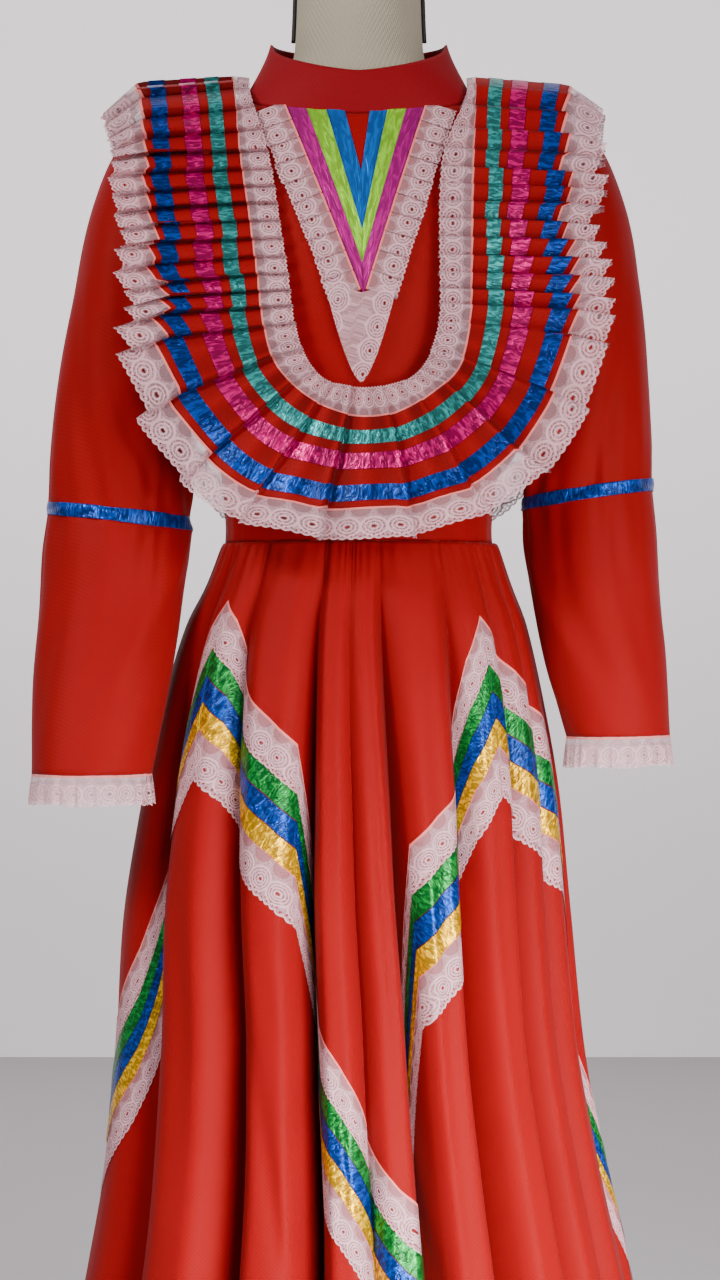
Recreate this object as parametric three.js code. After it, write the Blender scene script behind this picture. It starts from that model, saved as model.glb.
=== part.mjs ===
// A long-sleeved folk dance dress with a pleated bib, standing on a linen dress form.
// Millimetres, +Z up, the front faces -Y, the origin is the middle of the base's underside.
import * as THREE from 'three';

const DEG = Math.PI / 180;

// Driving sizes
const SEAM = 0.3;
const LAY = 0.35;
const CLOTH = 1.5;
const TRIM = 1.0;
const LACE = 1.1;
const WAIST_Z = 1010;
const HEM_Z = 30;
const FORM_TOP_Z = 1540;
const FORM_FOOT_Z = 760;
const BODICE_CLEAR = 4.2;
const COLLAR_WALL = 2.2;
const POLE_RADIUS = 15;
const BASE_RADIUS = 165;
const BASE_RIM_HEIGHT = 12;
const BASE_HEIGHT = 22;
const CUFF_LACE_HEIGHT = 28;
const BIB_WALL = 1.8;
const YOKE_LACE_WIDTH = 30;

// Torso sections: height, half width, half depth
const FORM_SECTIONS = [
  { z: 760, w: 148, d: 113 },
  { z: 830, w: 149, d: 117 },
  { z: 900, w: 143, d: 112 },
  { z: 960, w: 130, d: 101 },
  { z: 1010, w: 120, d: 94 },
  { z: 1060, w: 123, d: 97 },
  { z: 1110, w: 130, d: 104 },
  { z: 1160, w: 138, d: 112 },
  { z: 1210, w: 146, d: 117 },
  { z: 1260, w: 152, d: 114 },
  { z: 1310, w: 160, d: 104 },
  { z: 1350, w: 166, d: 90 },
  { z: 1380, w: 168, d: 77 },
  { z: 1398, w: 156, d: 67 },
  { z: 1412, w: 130, d: 61 },
  { z: 1428, w: 100, d: 58 },
  { z: 1442, w: 77, d: 57 },
  { z: 1456, w: 64, d: 56 },
  { z: 1470, w: 60, d: 56 },
  { z: 1540, w: 57, d: 55 },
];

// Skirt envelope through the fold crests: height, half width, half depth, sideways shift, fold depth
const SKIRT_SECTIONS = [
  { z: 1010, w: 128, d: 102, shift: 1, fold: 3.5 },
  { z: 970, w: 143, d: 119, shift: 0, fold: 8 },
  { z: 934, w: 159, d: 135, shift: -2, fold: 15 },
  { z: 870, w: 176, d: 156, shift: -4, fold: 23 },
  { z: 785, w: 193, d: 172, shift: -7, fold: 32 },
  { z: 672, w: 208, d: 186, shift: -11, fold: 40 },
  { z: 545, w: 218, d: 196, shift: -8, fold: 46 },
  { z: 434, w: 234, d: 210, shift: -3, fold: 53 },
  { z: 340, w: 252, d: 226, shift: 0, fold: 58 },
  { z: 200, w: 277, d: 247, shift: 0, fold: 62 },
  { z: 30, w: 305, d: 270, shift: 0, fold: 66 },
];

// Skirt folds round the body from the left side: crest and trough angles low down and at the waist,
// and the share of the fold depth that the trough reaches
const FOLDS = [
  { crest: -84, crestTop: -80, trough: -60, troughTop: -64, share: 0.6 },
  { crest: -43, crestTop: -52, trough: -31, troughTop: -42, share: 0.9 },
  { crest: -19, crestTop: -27, trough: -9.5, troughTop: -14, share: 1.15 },
  { crest: -2.5, crestTop: -8, trough: 3.5, troughTop: -3, share: 0.4 },
  { crest: 10, crestTop: 2, trough: 16.5, troughTop: 8, share: 1.05 },
  { crest: 25, crestTop: 20, trough: 34, troughTop: 34, share: 0.95 },
  { crest: 44, crestTop: 45, trough: 51, troughTop: 54, share: 0.55 },
  { crest: 58, crestTop: 62, trough: 65, troughTop: 69, share: 0.5 },
  { crest: 73, crestTop: 76, trough: 82, troughTop: 84, share: 0.6 },
  { crest: 93, crestTop: 93, trough: 104, troughTop: 104, share: 0.8 },
  { crest: 116, crestTop: 116, trough: 128, troughTop: 128, share: 0.85 },
  { crest: 140, crestTop: 140, trough: 152, troughTop: 152, share: 0.9 },
  { crest: 164, crestTop: 164, trough: 176, troughTop: 176, share: 0.85 },
  { crest: 188, crestTop: 188, trough: 200, troughTop: 200, share: 0.9 },
  { crest: 212, crestTop: 212, trough: 224, troughTop: 224, share: 0.85 },
  { crest: 236, crestTop: 236, trough: 247, troughTop: 247, share: 0.8 },
  { crest: 257, crestTop: 258, trough: 267, troughTop: 269, share: 0.5 },
];

// Top edge of the zigzag band: place along the folds, height
const ZIGZAG_EDGE = [
  { at: 0.5, z: 600 },
  { at: 0.75, z: 575 },
  { at: 1.0, z: 565 },
  { at: 1.25, z: 640 },
  { at: 1.5, z: 745 },
  { at: 1.75, z: 900 },
  { at: 2.0, z: 956 },
  { at: 2.25, z: 938 },
  { at: 2.5, z: 905 },
  { at: 2.75, z: 878 },
  { at: 3.0, z: 852 },
  { at: 3.25, z: 828 },
  { at: 3.5, z: 690 },
  { at: 3.75, z: 582 },
  { at: 4.0, z: 552 },
  { at: 4.5, z: 492 },
  { at: 5.0, z: 444 },
  { at: 5.25, z: 428 },
  { at: 5.5, z: 560 },
  { at: 5.75, z: 740 },
  { at: 6.25, z: 788 },
  { at: 6.5, z: 835 },
  { at: 6.75, z: 902 },
  { at: 7.0, z: 942 },
  { at: 7.25, z: 922 },
  { at: 8.0, z: 886 },
  { at: 9.0, z: 848 },
  { at: 9.5, z: 640 },
  { at: 10.0, z: 450 },
  { at: 10.25, z: 398 },
  { at: 10.5, z: 430 },
  { at: 11.25, z: 660 },
  { at: 12.0, z: 900 },
  { at: 12.25, z: 942 },
  { at: 12.5, z: 905 },
  { at: 13.5, z: 580 },
  { at: 14.0, z: 425 },
  { at: 14.25, z: 402 },
  { at: 14.5, z: 450 },
  { at: 15.25, z: 780 },
  { at: 15.75, z: 940 },
  { at: 16.0, z: 915 },
  { at: 16.75, z: 745 },
  { at: 17.5, z: 600 },
];

// Strips of the zigzag band: name, how far below the top edge each starts and ends
const ZIGZAG_STRIPS = [
  { node: 'zigzag_lace_top', from: 0, to: 44, wall: LACE, color: 0xe6c6ca },
  { node: 'zigzag_ribbon_green', from: 44, to: 68, wall: TRIM, color: 0x1e8a3a },
  { node: 'zigzag_ribbon_blue', from: 68, to: 92, wall: TRIM, color: 0x1b4fc0 },
  { node: 'zigzag_ribbon_yellow', from: 92, to: 116, wall: TRIM, color: 0xe8b800 },
  { node: 'zigzag_lace_bottom', from: 116, to: 162, wall: LACE, color: 0xe6c6ca },
];

// Sleeve rings from the armhole to the cuff: outer and inner point seen from the front,
// half depth and how far forward the ring's middle lies
const SLEEVE_LEFT = [
  { ox: -180, oz: 1412, ix: -158, iz: 1226, half: 60, y: 0 },
  { ox: -220, oz: 1386, ix: -161, iz: 1202, half: 68, y: -1 },
  { ox: -249, oz: 1322, ix: -160, iz: 1170, half: 70, y: -3 },
  { ox: -267, oz: 1236, ix: -157, iz: 1130, half: 70, y: -6 },
  { ox: -283, oz: 1140, ix: -154, iz: 1085, half: 68, y: -9 },
  { ox: -290, oz: 1048, ix: -154, iz: 1034, half: 66, y: -14 },
  { ox: -291, oz: 1036, ix: -155, iz: 1021, half: 66, y: -16 },
  { ox: -295, oz: 950, ix: -164, iz: 950, half: 61, y: -36 },
  { ox: -298, oz: 868, ix: -173, iz: 872, half: 58, y: -64 },
  { ox: -296, oz: 800, ix: -187, iz: 800, half: 52, y: -92 },
];
const SLEEVE_RIGHT = [
  { ox: 180, oz: 1412, ix: 158, iz: 1226, half: 60, y: 0 },
  { ox: 219, oz: 1388, ix: 161, iz: 1202, half: 68, y: -1 },
  { ox: 247, oz: 1328, ix: 160, iz: 1170, half: 70, y: -3 },
  { ox: 262, oz: 1250, ix: 156, iz: 1130, half: 70, y: -6 },
  { ox: 270, oz: 1160, ix: 152, iz: 1090, half: 68, y: -9 },
  { ox: 274, oz: 1070, ix: 150, iz: 1052, half: 64, y: -14 },
  { ox: 275, oz: 1058, ix: 150, iz: 1040, half: 64, y: -16 },
  { ox: 279, oz: 960, ix: 160, iz: 958, half: 60, y: -28 },
  { ox: 283, oz: 890, ix: 174, iz: 888, half: 56, y: -44 },
  { ox: 285, oz: 834, ix: 190, iz: 832, half: 49, y: -56 },
];
const SLEEVE_RIBBON_RING = 6;

// Armhole edge on the body: height, angle from the front
const ARMHOLE = [
  { z: 1245, angle: 89.9 },
  { z: 1262, angle: 73 },
  { z: 1325, angle: 57 },
  { z: 1382, angle: 62 },
  { z: 1402, angle: 76 },
  { z: 1412, angle: 89.9 },
];
const NECK_FRONT_Z = 1399;
const NECK_SIDE_Z = 1436;
const NECK_BACK_Z = 1438;
const NECK_CURVE = 0.85;

// Bib lines in front from the left shoulder to the right one, by pleat number:
// a = free edge of the inner lace, b = seam to the flounce,
// c = flounce's end, e = free edge of the outer lace
const BIB_FRONT = [
  {
    pleat: 0, ax: -103, ay: 0, az: 1440, bx: -119, by: 0, bz: 1441,
    cx: -204, cy: 0, cz: 1434, ex: -236, ey: 0, ez: 1405,
  },
  {
    pleat: 1, ax: -101, ay: -30, az: 1428, bx: -116, by: -32, bz: 1429,
    cx: -201, cy: -36, cz: 1419, ex: -235, ey: -38, ez: 1391,
  },
  {
    pleat: 2, ax: -93, ay: -52, az: 1404, bx: -112, by: -54, bz: 1405,
    cx: -198, cy: -60, cz: 1396, ex: -231, ey: -64, ez: 1375,
  },
  {
    pleat: 4, ax: -80, ay: -82, az: 1361, bx: -108, by: -80, bz: 1362,
    cx: -195, cy: -84, cz: 1357, ex: -227, ey: -87, ez: 1351,
  },
  {
    pleat: 8, ax: -70, ay: -110, az: 1296, bx: -98, by: -106, bz: 1296,
    cx: -188, cy: -98, cz: 1293, ex: -219, ey: -101, ez: 1288,
  },
  {
    pleat: 11, ax: -62, ay: -120, az: 1247, bx: -91, by: -115, bz: 1247,
    cx: -179, cy: -108, cz: 1240, ex: -209, ey: -111, ez: 1232,
  },
  {
    pleat: 14, ax: -56, ay: -126, az: 1203, bx: -85, by: -121, bz: 1200,
    cx: -170, cy: -117, cz: 1190, ex: -204, ey: -119, ez: 1177,
  },
  {
    pleat: 15.3, ax: -47, ay: -127, az: 1174, bx: -74, by: -124, bz: 1165,
    cx: -152, cy: -127, cz: 1124, ex: -180, ey: -130, ez: 1103,
  },
  {
    pleat: 16.6, ax: -31, ay: -127, az: 1153, bx: -47, by: -127, bz: 1137,
    cx: -109, cy: -134, cz: 1062, ex: -129, ey: -138, ez: 1037,
  },
  {
    pleat: 17.8, ax: -11, ay: -128, az: 1147, bx: -17, by: -128, bz: 1122,
    cx: -44, cy: -138, cz: 1037, ex: -49, ey: -142, ez: 1010,
  },
  {
    pleat: 18.5, ax: 6, ay: -128, az: 1145, bx: 8, by: -128, bz: 1118,
    cx: 8, cy: -139, cz: 1033, ex: 8, ey: -143, ez: 1004,
  },
  {
    pleat: 19.2, ax: 24, ay: -128, az: 1147, bx: 34, by: -128, bz: 1122,
    cx: 60, cy: -138, cz: 1038, ex: 66, ey: -142, ez: 1012,
  },
  {
    pleat: 20.4, ax: 46, ay: -127, az: 1154, bx: 65, by: -127, bz: 1139,
    cx: 121, cy: -134, cz: 1064, ex: 144, ey: -138, ez: 1042,
  },
  {
    pleat: 21.7, ax: 61, ay: -127, az: 1172, bx: 90, by: -124, bz: 1163,
    cx: 165, cy: -126, cz: 1122, ex: 196, ey: -129, ez: 1104,
  },
  {
    pleat: 23, ax: 70, ay: -125, az: 1203, bx: 99, by: -121, bz: 1201,
    cx: 187, cy: -117, cz: 1192, ex: 221, ey: -119, ez: 1184,
  },
  {
    pleat: 26, ax: 71, ay: -120, az: 1247, bx: 101, by: -115, bz: 1247,
    cx: 188, cy: -108, cz: 1243, ex: 219, ey: -111, ez: 1240,
  },
  {
    pleat: 29, ax: 71, ay: -110, az: 1296, bx: 102, by: -106, bz: 1296,
    cx: 185, cy: -98, cz: 1295, ex: 214, ey: -101, ez: 1291,
  },
  {
    pleat: 33, ax: 74, ay: -82, az: 1361, bx: 104, by: -80, bz: 1362,
    cx: 187, cy: -84, cz: 1356, ex: 221, ey: -87, ez: 1350,
  },
  {
    pleat: 35, ax: 91, ay: -52, az: 1404, bx: 106, by: -54, bz: 1405,
    cx: 190, cy: -60, cz: 1395, ex: 223, ey: -64, ez: 1377,
  },
  {
    pleat: 36, ax: 99, ay: -30, az: 1427, bx: 108, by: -32, bz: 1428,
    cx: 193, cy: -36, cz: 1416, ex: 225, ey: -38, ez: 1394,
  },
  {
    pleat: 37, ax: 101, ay: 0, az: 1439, bx: 109, by: 0, bz: 1440,
    cx: 194, cy: 0, cz: 1430, ex: 225, ey: 0, ez: 1408,
  },
];
const FRONT_PLEATS = 37;
const BACK_PLEATS = 13;
const BACK_FLATTEN = 0.97;
const PLEAT_FOLD_AT = 0.82;

// Lines across the flounce from its inner seam to its end, as shares of its width
const BIB_LINES = [0, 0.14, 0.31, 0.44, 0.61, 0.79, 1];
const BIB_UNDER_LINES = [0, 2, 4, 6];
const BIB_RIBBONS = [
  { node: 'bib_ribbon_teal', line: 1, color: 0x4cb0ac },
  { node: 'bib_ribbon_pink', line: 3, color: 0xe0127c },
  { node: 'bib_ribbon_blue', line: 5, color: 0x1458b8 },
];

// Nested Vs of the yoke in the front view: left end, tip and right end of each edge
const YOKE_EDGES = [
  { lx: -65, lz: 1404, tx: 4, tz: 1228, rx: 58, rz: 1403 },
  { lx: -46, lz: 1400, tx: 3, tz: 1257, rx: 41, rz: 1399 },
  { lx: -28, lz: 1398, tx: 3, tz: 1287, rx: 24, rz: 1397 },
  { lx: -12, lz: 1396, tx: 2, tz: 1342, rx: 9, rz: 1396 },
];
const YOKE_RIBBONS = [
  { node: 'yoke_ribbon_magenta', edge: 0, color: 0xc42a8c },
  { node: 'yoke_ribbon_lime', edge: 1, color: 0x9be04a },
  { node: 'yoke_ribbon_blue', edge: 2, color: 0x0f6fc4 },
];
const YOKE_PLEATS = 10;
const YOKE_PLEAT_HEIGHT = 2.4;

const RED = 0xc0261f;
const LINEN = 0xc4b7a2;

const group = new THREE.Group();
group.name = 'jalisco_folklorico_dress';

function mix(a, b, t) {
  return a + (b - a) * t;
}

function smooth(t) {
  const c = Math.min(1, Math.max(0, t));
  return c * c * (3 - 2 * c);
}

// Smooth curve through a table's column, with slopes from the neighbours
function along(rows, key, column, at) {
  const up = rows[rows.length - 1][key] > rows[0][key];
  let i = 0;
  while (i < rows.length - 2 && (up ? at > rows[i + 1][key] : at < rows[i + 1][key])) {
    i += 1;
  }
  const p0 = rows[Math.max(0, i - 1)];
  const p1 = rows[i];
  const p2 = rows[i + 1];
  const p3 = rows[Math.min(rows.length - 1, i + 2)];
  const h = p2[key] - p1[key];
  const t = (at - p1[key]) / h;
  const m1 = ((p2[column] - p0[column]) / (p2[key] - p0[key])) * h;
  const m2 = ((p3[column] - p1[column]) / (p3[key] - p1[key])) * h;
  const t2 = t * t;
  const t3 = t2 * t;
  return (
    (2 * t3 - 3 * t2 + 1) * p1[column] +
    (t3 - 2 * t2 + t) * m1 +
    (3 * t2 - 2 * t3) * p2[column] +
    (t3 - t2) * m2
  );
}

// Straight lines through a table's column
function between(rows, key, column, at) {
  let i = 0;
  while (i < rows.length - 2 && at > rows[i + 1][key]) {
    i += 1;
  }
  const t = (at - rows[i][key]) / (rows[i + 1][key] - rows[i][key]);
  return mix(rows[i][column], rows[i + 1][column], t);
}

// Point of the body at a height and an angle from the front, moved out by off
function bodyPoint(z, angle, off) {
  const w = along(FORM_SECTIONS, 'z', 'w', z) + off;
  const d = along(FORM_SECTIONS, 'z', 'd', z) + off;
  return new THREE.Vector3(w * Math.sin(angle * DEG), -d * Math.cos(angle * DEG), z);
}

// How far forward the body's front lies at a place in the front view
function bodyFront(x, z, off) {
  const w = along(FORM_SECTIONS, 'z', 'w', z) + off;
  const d = along(FORM_SECTIONS, 'z', 'd', z) + off;
  const s = Math.min(0.999, Math.abs(x) / w);
  return -d * Math.sqrt(1 - s * s);
}

// Outward directions of a grid's points, lengthened at the creases so that a layer keeps its wall
function outward(grid, wrap, side) {
  const cols = grid.length;
  const rows = grid[0].length;
  const lastCol = wrap ? cols : cols - 1;
  const faces = [];
  for (let i = 0; i < lastCol; i += 1) {
    faces.push([]);
    for (let j = 0; j < rows - 1; j += 1) {
      const a = grid[i][j];
      const b = grid[(i + 1) % cols][j];
      const c = grid[(i + 1) % cols][j + 1];
      const e = grid[i][j + 1];
      const n = new THREE.Vector3().crossVectors(
        new THREE.Vector3().subVectors(c, a),
        new THREE.Vector3().subVectors(e, b),
      );
      faces[i].push(n.normalize().multiplyScalar(side));
    }
  }
  return grid.map((col, i) =>
    col.map((_, j) => {
      const near = [];
      [i - 1, i].forEach((fi) => {
        const k = wrap ? (fi + cols) % cols : fi;
        [j - 1, j].forEach((fj) => {
          if (k >= 0 && k < lastCol && fj >= 0 && fj < rows - 1) {
            near.push(faces[k][fj]);
          }
        });
      });
      const n = new THREE.Vector3();
      near.forEach((f) => n.add(f));
      n.normalize();
      const share = near.reduce((s, f) => s + f.dot(n), 0) / near.length;
      return n.multiplyScalar(1 / Math.max(0.5, share));
    }),
  );
}

function moved(grid, ways, by) {
  return grid.map((col, i) => col.map((p, j) => p.clone().addScaledVector(ways[i][j], by)));
}

function addBody(name, points, triangles, color, roughness = 0.85, metalness = 0) {
  const at = points.flatMap((p) => [p.x, p.y, p.z]);
  let volume = 0;
  triangles.forEach(([a, b, c]) => {
    volume += points[a].dot(new THREE.Vector3().crossVectors(points[b], points[c]));
  });
  const index = triangles.flatMap(([a, b, c]) => (volume < 0 ? [a, c, b] : [a, b, c]));
  const geometry = new THREE.BufferGeometry();
  geometry.setAttribute('position', new THREE.Float32BufferAttribute(at, 3));
  geometry.setIndex(index);
  const mesh = new THREE.Mesh(geometry, new THREE.MeshStandardMaterial({ color, roughness, metalness }));
  mesh.name = name;
  group.add(mesh);
}

// A cloth wall between an outer and an inner grid of points; the inner one may have fewer lines
function addWall(name, outer, inner, wrap, color, innerLines = null, roughness = 0.85) {
  const cols = outer.length;
  const rows = outer[0].length;
  const lines = innerLines ?? outer[0].map((_, j) => j);
  const points = [];
  const outerAt = outer.map((col) =>
    col.map((p) => {
      points.push(p);
      return points.length - 1;
    }),
  );
  const innerAt = inner.map((col) =>
    lines.map((j) => {
      points.push(col[j]);
      return points.length - 1;
    }),
  );
  const triangles = [];
  const quad = (a, b, c, e) => {
    triangles.push([a, b, c], [a, c, e]);
  };
  const last = wrap ? cols : cols - 1;
  const end = lines.length - 1;
  for (let i = 0; i < last; i += 1) {
    const k = (i + 1) % cols;
    for (let j = 0; j < rows - 1; j += 1) {
      quad(outerAt[i][j], outerAt[k][j], outerAt[k][j + 1], outerAt[i][j + 1]);
    }
    for (let j = 0; j < end; j += 1) {
      quad(innerAt[i][j], innerAt[i][j + 1], innerAt[k][j + 1], innerAt[k][j]);
    }
    quad(outerAt[i][0], innerAt[i][0], innerAt[k][0], outerAt[k][0]);
    quad(outerAt[i][rows - 1], outerAt[k][rows - 1], innerAt[k][end], innerAt[i][end]);
  }
  if (!wrap) {
    for (let j = 0; j < rows - 1; j += 1) {
      quad(outerAt[0][j], outerAt[0][j + 1], innerAt[0][j + 1], innerAt[0][j]);
      quad(outerAt[cols - 1][j], innerAt[cols - 1][j], innerAt[cols - 1][j + 1], outerAt[cols - 1][j + 1]);
    }
  }
  addBody(name, points, triangles, color, roughness);
}

// A strip laid on some of a grid's lines, moved out from them, its long edges drawn in a little
function addStrip(name, grid, ways, wrap, first, last, wall, color, roughness = 0.6) {
  const lines = [];
  for (let j = first; j <= last; j += 1) {
    lines.push(j);
  }
  const strip = grid.map((col) =>
    lines.map((j) => {
      const p = col[j].clone();
      if (j === first || j === last) {
        const toward = new THREE.Vector3().subVectors(col[j === first ? j + 1 : j - 1], p);
        p.addScaledVector(toward.normalize(), SEAM * 1.3);
      }
      return p;
    }),
  );
  const stripWays = ways.map((col) => lines.map((j) => col[j]));
  const outer = moved(strip, stripWays, LAY + wall);
  const inner = moved(strip, stripWays, LAY);
  addWall(name, outer, inner, wrap, color, null, roughness);
}

// Closed loft through rings with flat ends
function addLoft(name, rings, color, roughness = 0.9, metalness = 0) {
  const count = rings[0].length;
  const points = rings.flat();
  const low = points.push(centre(rings[0])) - 1;
  const high = points.push(centre(rings[rings.length - 1])) - 1;
  const top = (rings.length - 1) * count;
  const triangles = [];
  for (let i = 0; i < count; i += 1) {
    const k = (i + 1) % count;
    for (let j = 0; j < rings.length - 1; j += 1) {
      const a = j * count;
      const b = (j + 1) * count;
      triangles.push([a + i, a + k, b + k], [a + i, b + k, b + i]);
    }
    triangles.push([low, k, i], [high, top + i, top + k]);
  }
  addBody(name, points, triangles, color, roughness, metalness);
}

function centre(ring) {
  const c = new THREE.Vector3();
  ring.forEach((p) => c.add(p));
  return c.multiplyScalar(1 / ring.length);
}

// Dress form: torso with neck, pole, base and the piping beside the neck
const FORM_COLUMNS = 24;
const FORM_SLIM = 3.2;
const FORM_SLIM_LOW_Z = 1230;
const FORM_SLIM_HIGH_Z = 1420;
const FORM_RINGS_Z = [
  FORM_FOOT_Z, 900, 960, 1010, 1110, 1210, 1262, 1325, 1382, 1402, 1412, 1436, 1456, 1472,
];
function buildForm() {
  const ringAt = (z, off) => {
    const ring = [];
    for (let i = 0; i < FORM_COLUMNS; i += 1) {
      ring.push(bodyPoint(z, (360 * i) / FORM_COLUMNS, off));
    }
    return ring;
  };
  const slim = (z) => (z > FORM_SLIM_LOW_Z && z < FORM_SLIM_HIGH_Z ? -FORM_SLIM : 0);
  const rings = FORM_RINGS_Z.map((z) => ringAt(z, slim(z)));
  rings.push(ringAt(FORM_TOP_Z - 4, 0));
  rings.push(ringAt(FORM_TOP_Z, -5));
  addLoft('form_torso', rings, LINEN, 0.95);

  const PIPING_HALF = 3;
  const PIPING_RISE = 2.2;
  const PIPING_LAY = 0.5;
  [-1, 1].forEach((side) => {
    const columns = [-1, 0, 1].map((k) =>
      [1478, 1500, 1522, FORM_TOP_Z - 6].map((z) => {
        const base = bodyPoint(z, 90 * side, PIPING_LAY);
        return new THREE.Vector3(base.x, k * PIPING_HALF, z);
      }),
    );
    const ways = columns.map((col) => col.map(() => new THREE.Vector3(side, 0, 0)));
    const outer = columns.map((col, i) =>
      col.map((p) => p.clone().addScaledVector(new THREE.Vector3(side, 0, 0), i === 1 ? PIPING_RISE : 1)),
    );
    const name = side < 0 ? 'form_piping_left' : 'form_piping_right';
    addWall(name, outer, moved(columns, ways, 0), false, 0x17130f);
  });

  const POLE_SIDES = 28;
  const turned = (profile) =>
    profile.map(([r, z]) => {
      const ring = [];
      for (let i = 0; i < POLE_SIDES; i += 1) {
        const a = (2 * Math.PI * i) / POLE_SIDES;
        ring.push(new THREE.Vector3(r * Math.sin(a), -r * Math.cos(a), z));
      }
      return ring;
    });
  const ROUND = 3;
  addLoft(
    'form_base',
    turned([
      [BASE_RADIUS - ROUND, 0],
      [BASE_RADIUS, ROUND],
      [BASE_RADIUS, BASE_RIM_HEIGHT],
      [BASE_RADIUS - 6, BASE_RIM_HEIGHT + 4],
      [POLE_RADIUS * 2, BASE_HEIGHT],
    ]),
    0x2a2422,
    0.5,
  );
  addLoft(
    'form_pole',
    turned([
      [POLE_RADIUS, BASE_HEIGHT + SEAM],
      [POLE_RADIUS, FORM_FOOT_Z - SEAM],
    ]),
    0x2a2422,
    0.4,
  );
}

// Bodice: a front and a back panel; each reaches from the waist to the neckline
const PANEL_COLUMNS = 12;
const PANEL_Z = [WAIST_Z, 1060, 1120, 1185, ...ARMHOLE.map((r) => r.z), NECK_SIDE_Z];
function panelLimit(z) {
  if (z <= ARMHOLE[0].z || z >= ARMHOLE[ARMHOLE.length - 1].z) {
    return ARMHOLE[0].angle;
  }
  return between(ARMHOLE, 'z', 'angle', z);
}

function panelGrid(back, off) {
  const neckMiddle = back ? NECK_BACK_Z : NECK_FRONT_Z;
  const grid = [];
  for (let i = 0; i <= PANEL_COLUMNS; i += 1) {
    const t = (2 * i) / PANEL_COLUMNS - 1;
    const top = mix(neckMiddle, NECK_SIDE_Z, Math.abs(t) ** NECK_CURVE);
    grid.push(
      PANEL_Z.map((sideZ) => {
        const z = mix(WAIST_Z, top, (sideZ - WAIST_Z) / (NECK_SIDE_Z - WAIST_Z));
        const angle = t * panelLimit(sideZ);
        return bodyPoint(z, back ? 180 - angle : angle, off);
      }),
    );
  }
  return grid;
}

function buildBodice() {
  [false, true].forEach((back) => {
    addWall(
      back ? 'bodice_back' : 'bodice_front',
      panelGrid(back, BODICE_CLEAR),
      panelGrid(back, BODICE_CLEAR - CLOTH),
      false,
      RED,
    );
  });
}

// Stand collar: sits on the neckline, open behind with its ends meeting
const COLLAR_RISE_FRONT = 41;
const COLLAR_RISE_BACK = 40;
const COLLAR_TOP_WIDTH = 80;
const COLLAR_TOP_DEPTH = 63;
function collarGrid(off) {
  const COLUMNS = 24;
  const grid = [];
  for (let i = 0; i <= COLUMNS; i += 1) {
    const angle = Math.min(179.8, Math.max(-179.8, -180 + (360 * i) / COLUMNS));
    const back = Math.abs(angle) > 90;
    const t = back ? (180 - Math.abs(angle)) / 90 : Math.abs(angle) / 90;
    const low = mix(back ? NECK_BACK_Z : NECK_FRONT_Z, NECK_SIDE_Z, t ** NECK_CURVE);
    const rise = mix(COLLAR_RISE_FRONT, COLLAR_RISE_BACK, smooth(Math.abs(angle) / 180));
    const foot = bodyPoint(low, angle, BODICE_CLEAR - 2 + off);
    const head = new THREE.Vector3(
      (COLLAR_TOP_WIDTH + off) * Math.sin(angle * DEG),
      -(COLLAR_TOP_DEPTH + off) * Math.cos(angle * DEG),
      low + rise,
    );
    grid.push(
      [0, 0.5, 1].map((v) => {
        const p = foot.clone().lerp(head, v);
        p.z += (1 - v) * (SEAM + 0.1);
        return p;
      }),
    );
  }
  return grid;
}

// Sleeves: rings from the armhole down, with a ribbon above the elbow and a gathered cuff lace
const SLEEVE_COLUMNS = 16;
function sleeveGrid(table, side) {
  const armhole = [];
  const heights = ARMHOLE.map((r) => r.z);
  const limit = (z) => bodyPoint(z, panelLimit(z) * side, BODICE_CLEAR + SEAM + 0.3);
  const down = [5, 4, 3, 2.5, 2, 1.5, 1, 0.5, 0].map((k) => {
    const low = Math.floor(k);
    return limit(heights[low]).lerp(limit(heights[Math.ceil(k)]), k - low);
  });
  armhole.push(...down);
  for (let i = down.length - 2; i > 0; i -= 1) {
    armhole.push(down[i].clone().setY(-down[i].y));
  }
  const rings = [armhole];
  table.forEach((r) => {
    const ring = [];
    for (let i = 0; i < SLEEVE_COLUMNS; i += 1) {
      const a = (2 * Math.PI * i) / SLEEVE_COLUMNS;
      const t = (1 - Math.cos(a)) / 2;
      ring.push(new THREE.Vector3(mix(r.ox, r.ix, t), r.y - r.half * Math.sin(a), mix(r.oz, r.iz, t)));
    }
    rings.push(ring);
  });
  return armhole.map((_, i) => rings.map((ring) => ring[i]));
}

function buildSleeve(table, side, suffix) {
  const grid = sleeveGrid(table, side);
  const ways = outward(grid, true, side);
  addWall(`sleeve_${suffix}`, grid, moved(grid, ways, -CLOTH), true, RED);
  addStrip(
    `sleeve_ribbon_${suffix}`,
    grid,
    ways,
    true,
    SLEEVE_RIBBON_RING,
    SLEEVE_RIBBON_RING + 1,
    TRIM,
    0x1458b8,
  );
  const edge = grid[0].length - 1;
  const GATHER = 1.6;
  const lace = [];
  for (let i = 0; i < SLEEVE_COLUMNS * 2; i += 1) {
    const a = grid[Math.floor(i / 2)];
    const b = grid[(Math.floor(i / 2) + (i % 2)) % SLEEVE_COLUMNS];
    const rim = a[edge].clone().lerp(b[edge], i % 2 ? 0.5 : 0);
    const way = ways[Math.floor(i / 2)][edge];
    const wave = i % 2 ? GATHER : -GATHER;
    const top = rim.clone();
    top.z -= SEAM + 0.2;
    const low = rim.clone().addScaledVector(way, wave + 1.5);
    low.z -= CUFF_LACE_HEIGHT;
    lace.push([top, low]);
  }
  const laceWays = outward(lace, true, side);
  addWall(`cuff_lace_${suffix}`, lace, moved(lace, laceWays, -LACE), true, 0xe6dcde);
}

// Skirt: a point from the place along the folds and the height
const FOLD_COUNT = FOLDS.length;
const BROAD = 2.1;
const CREST_FLAT = 0.18;
function foldAngle(row, which, height) {
  const t = smooth((height - 560) / (WAIST_Z - 560));
  return mix(row[which], row[`${which}Top`], t);
}

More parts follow.
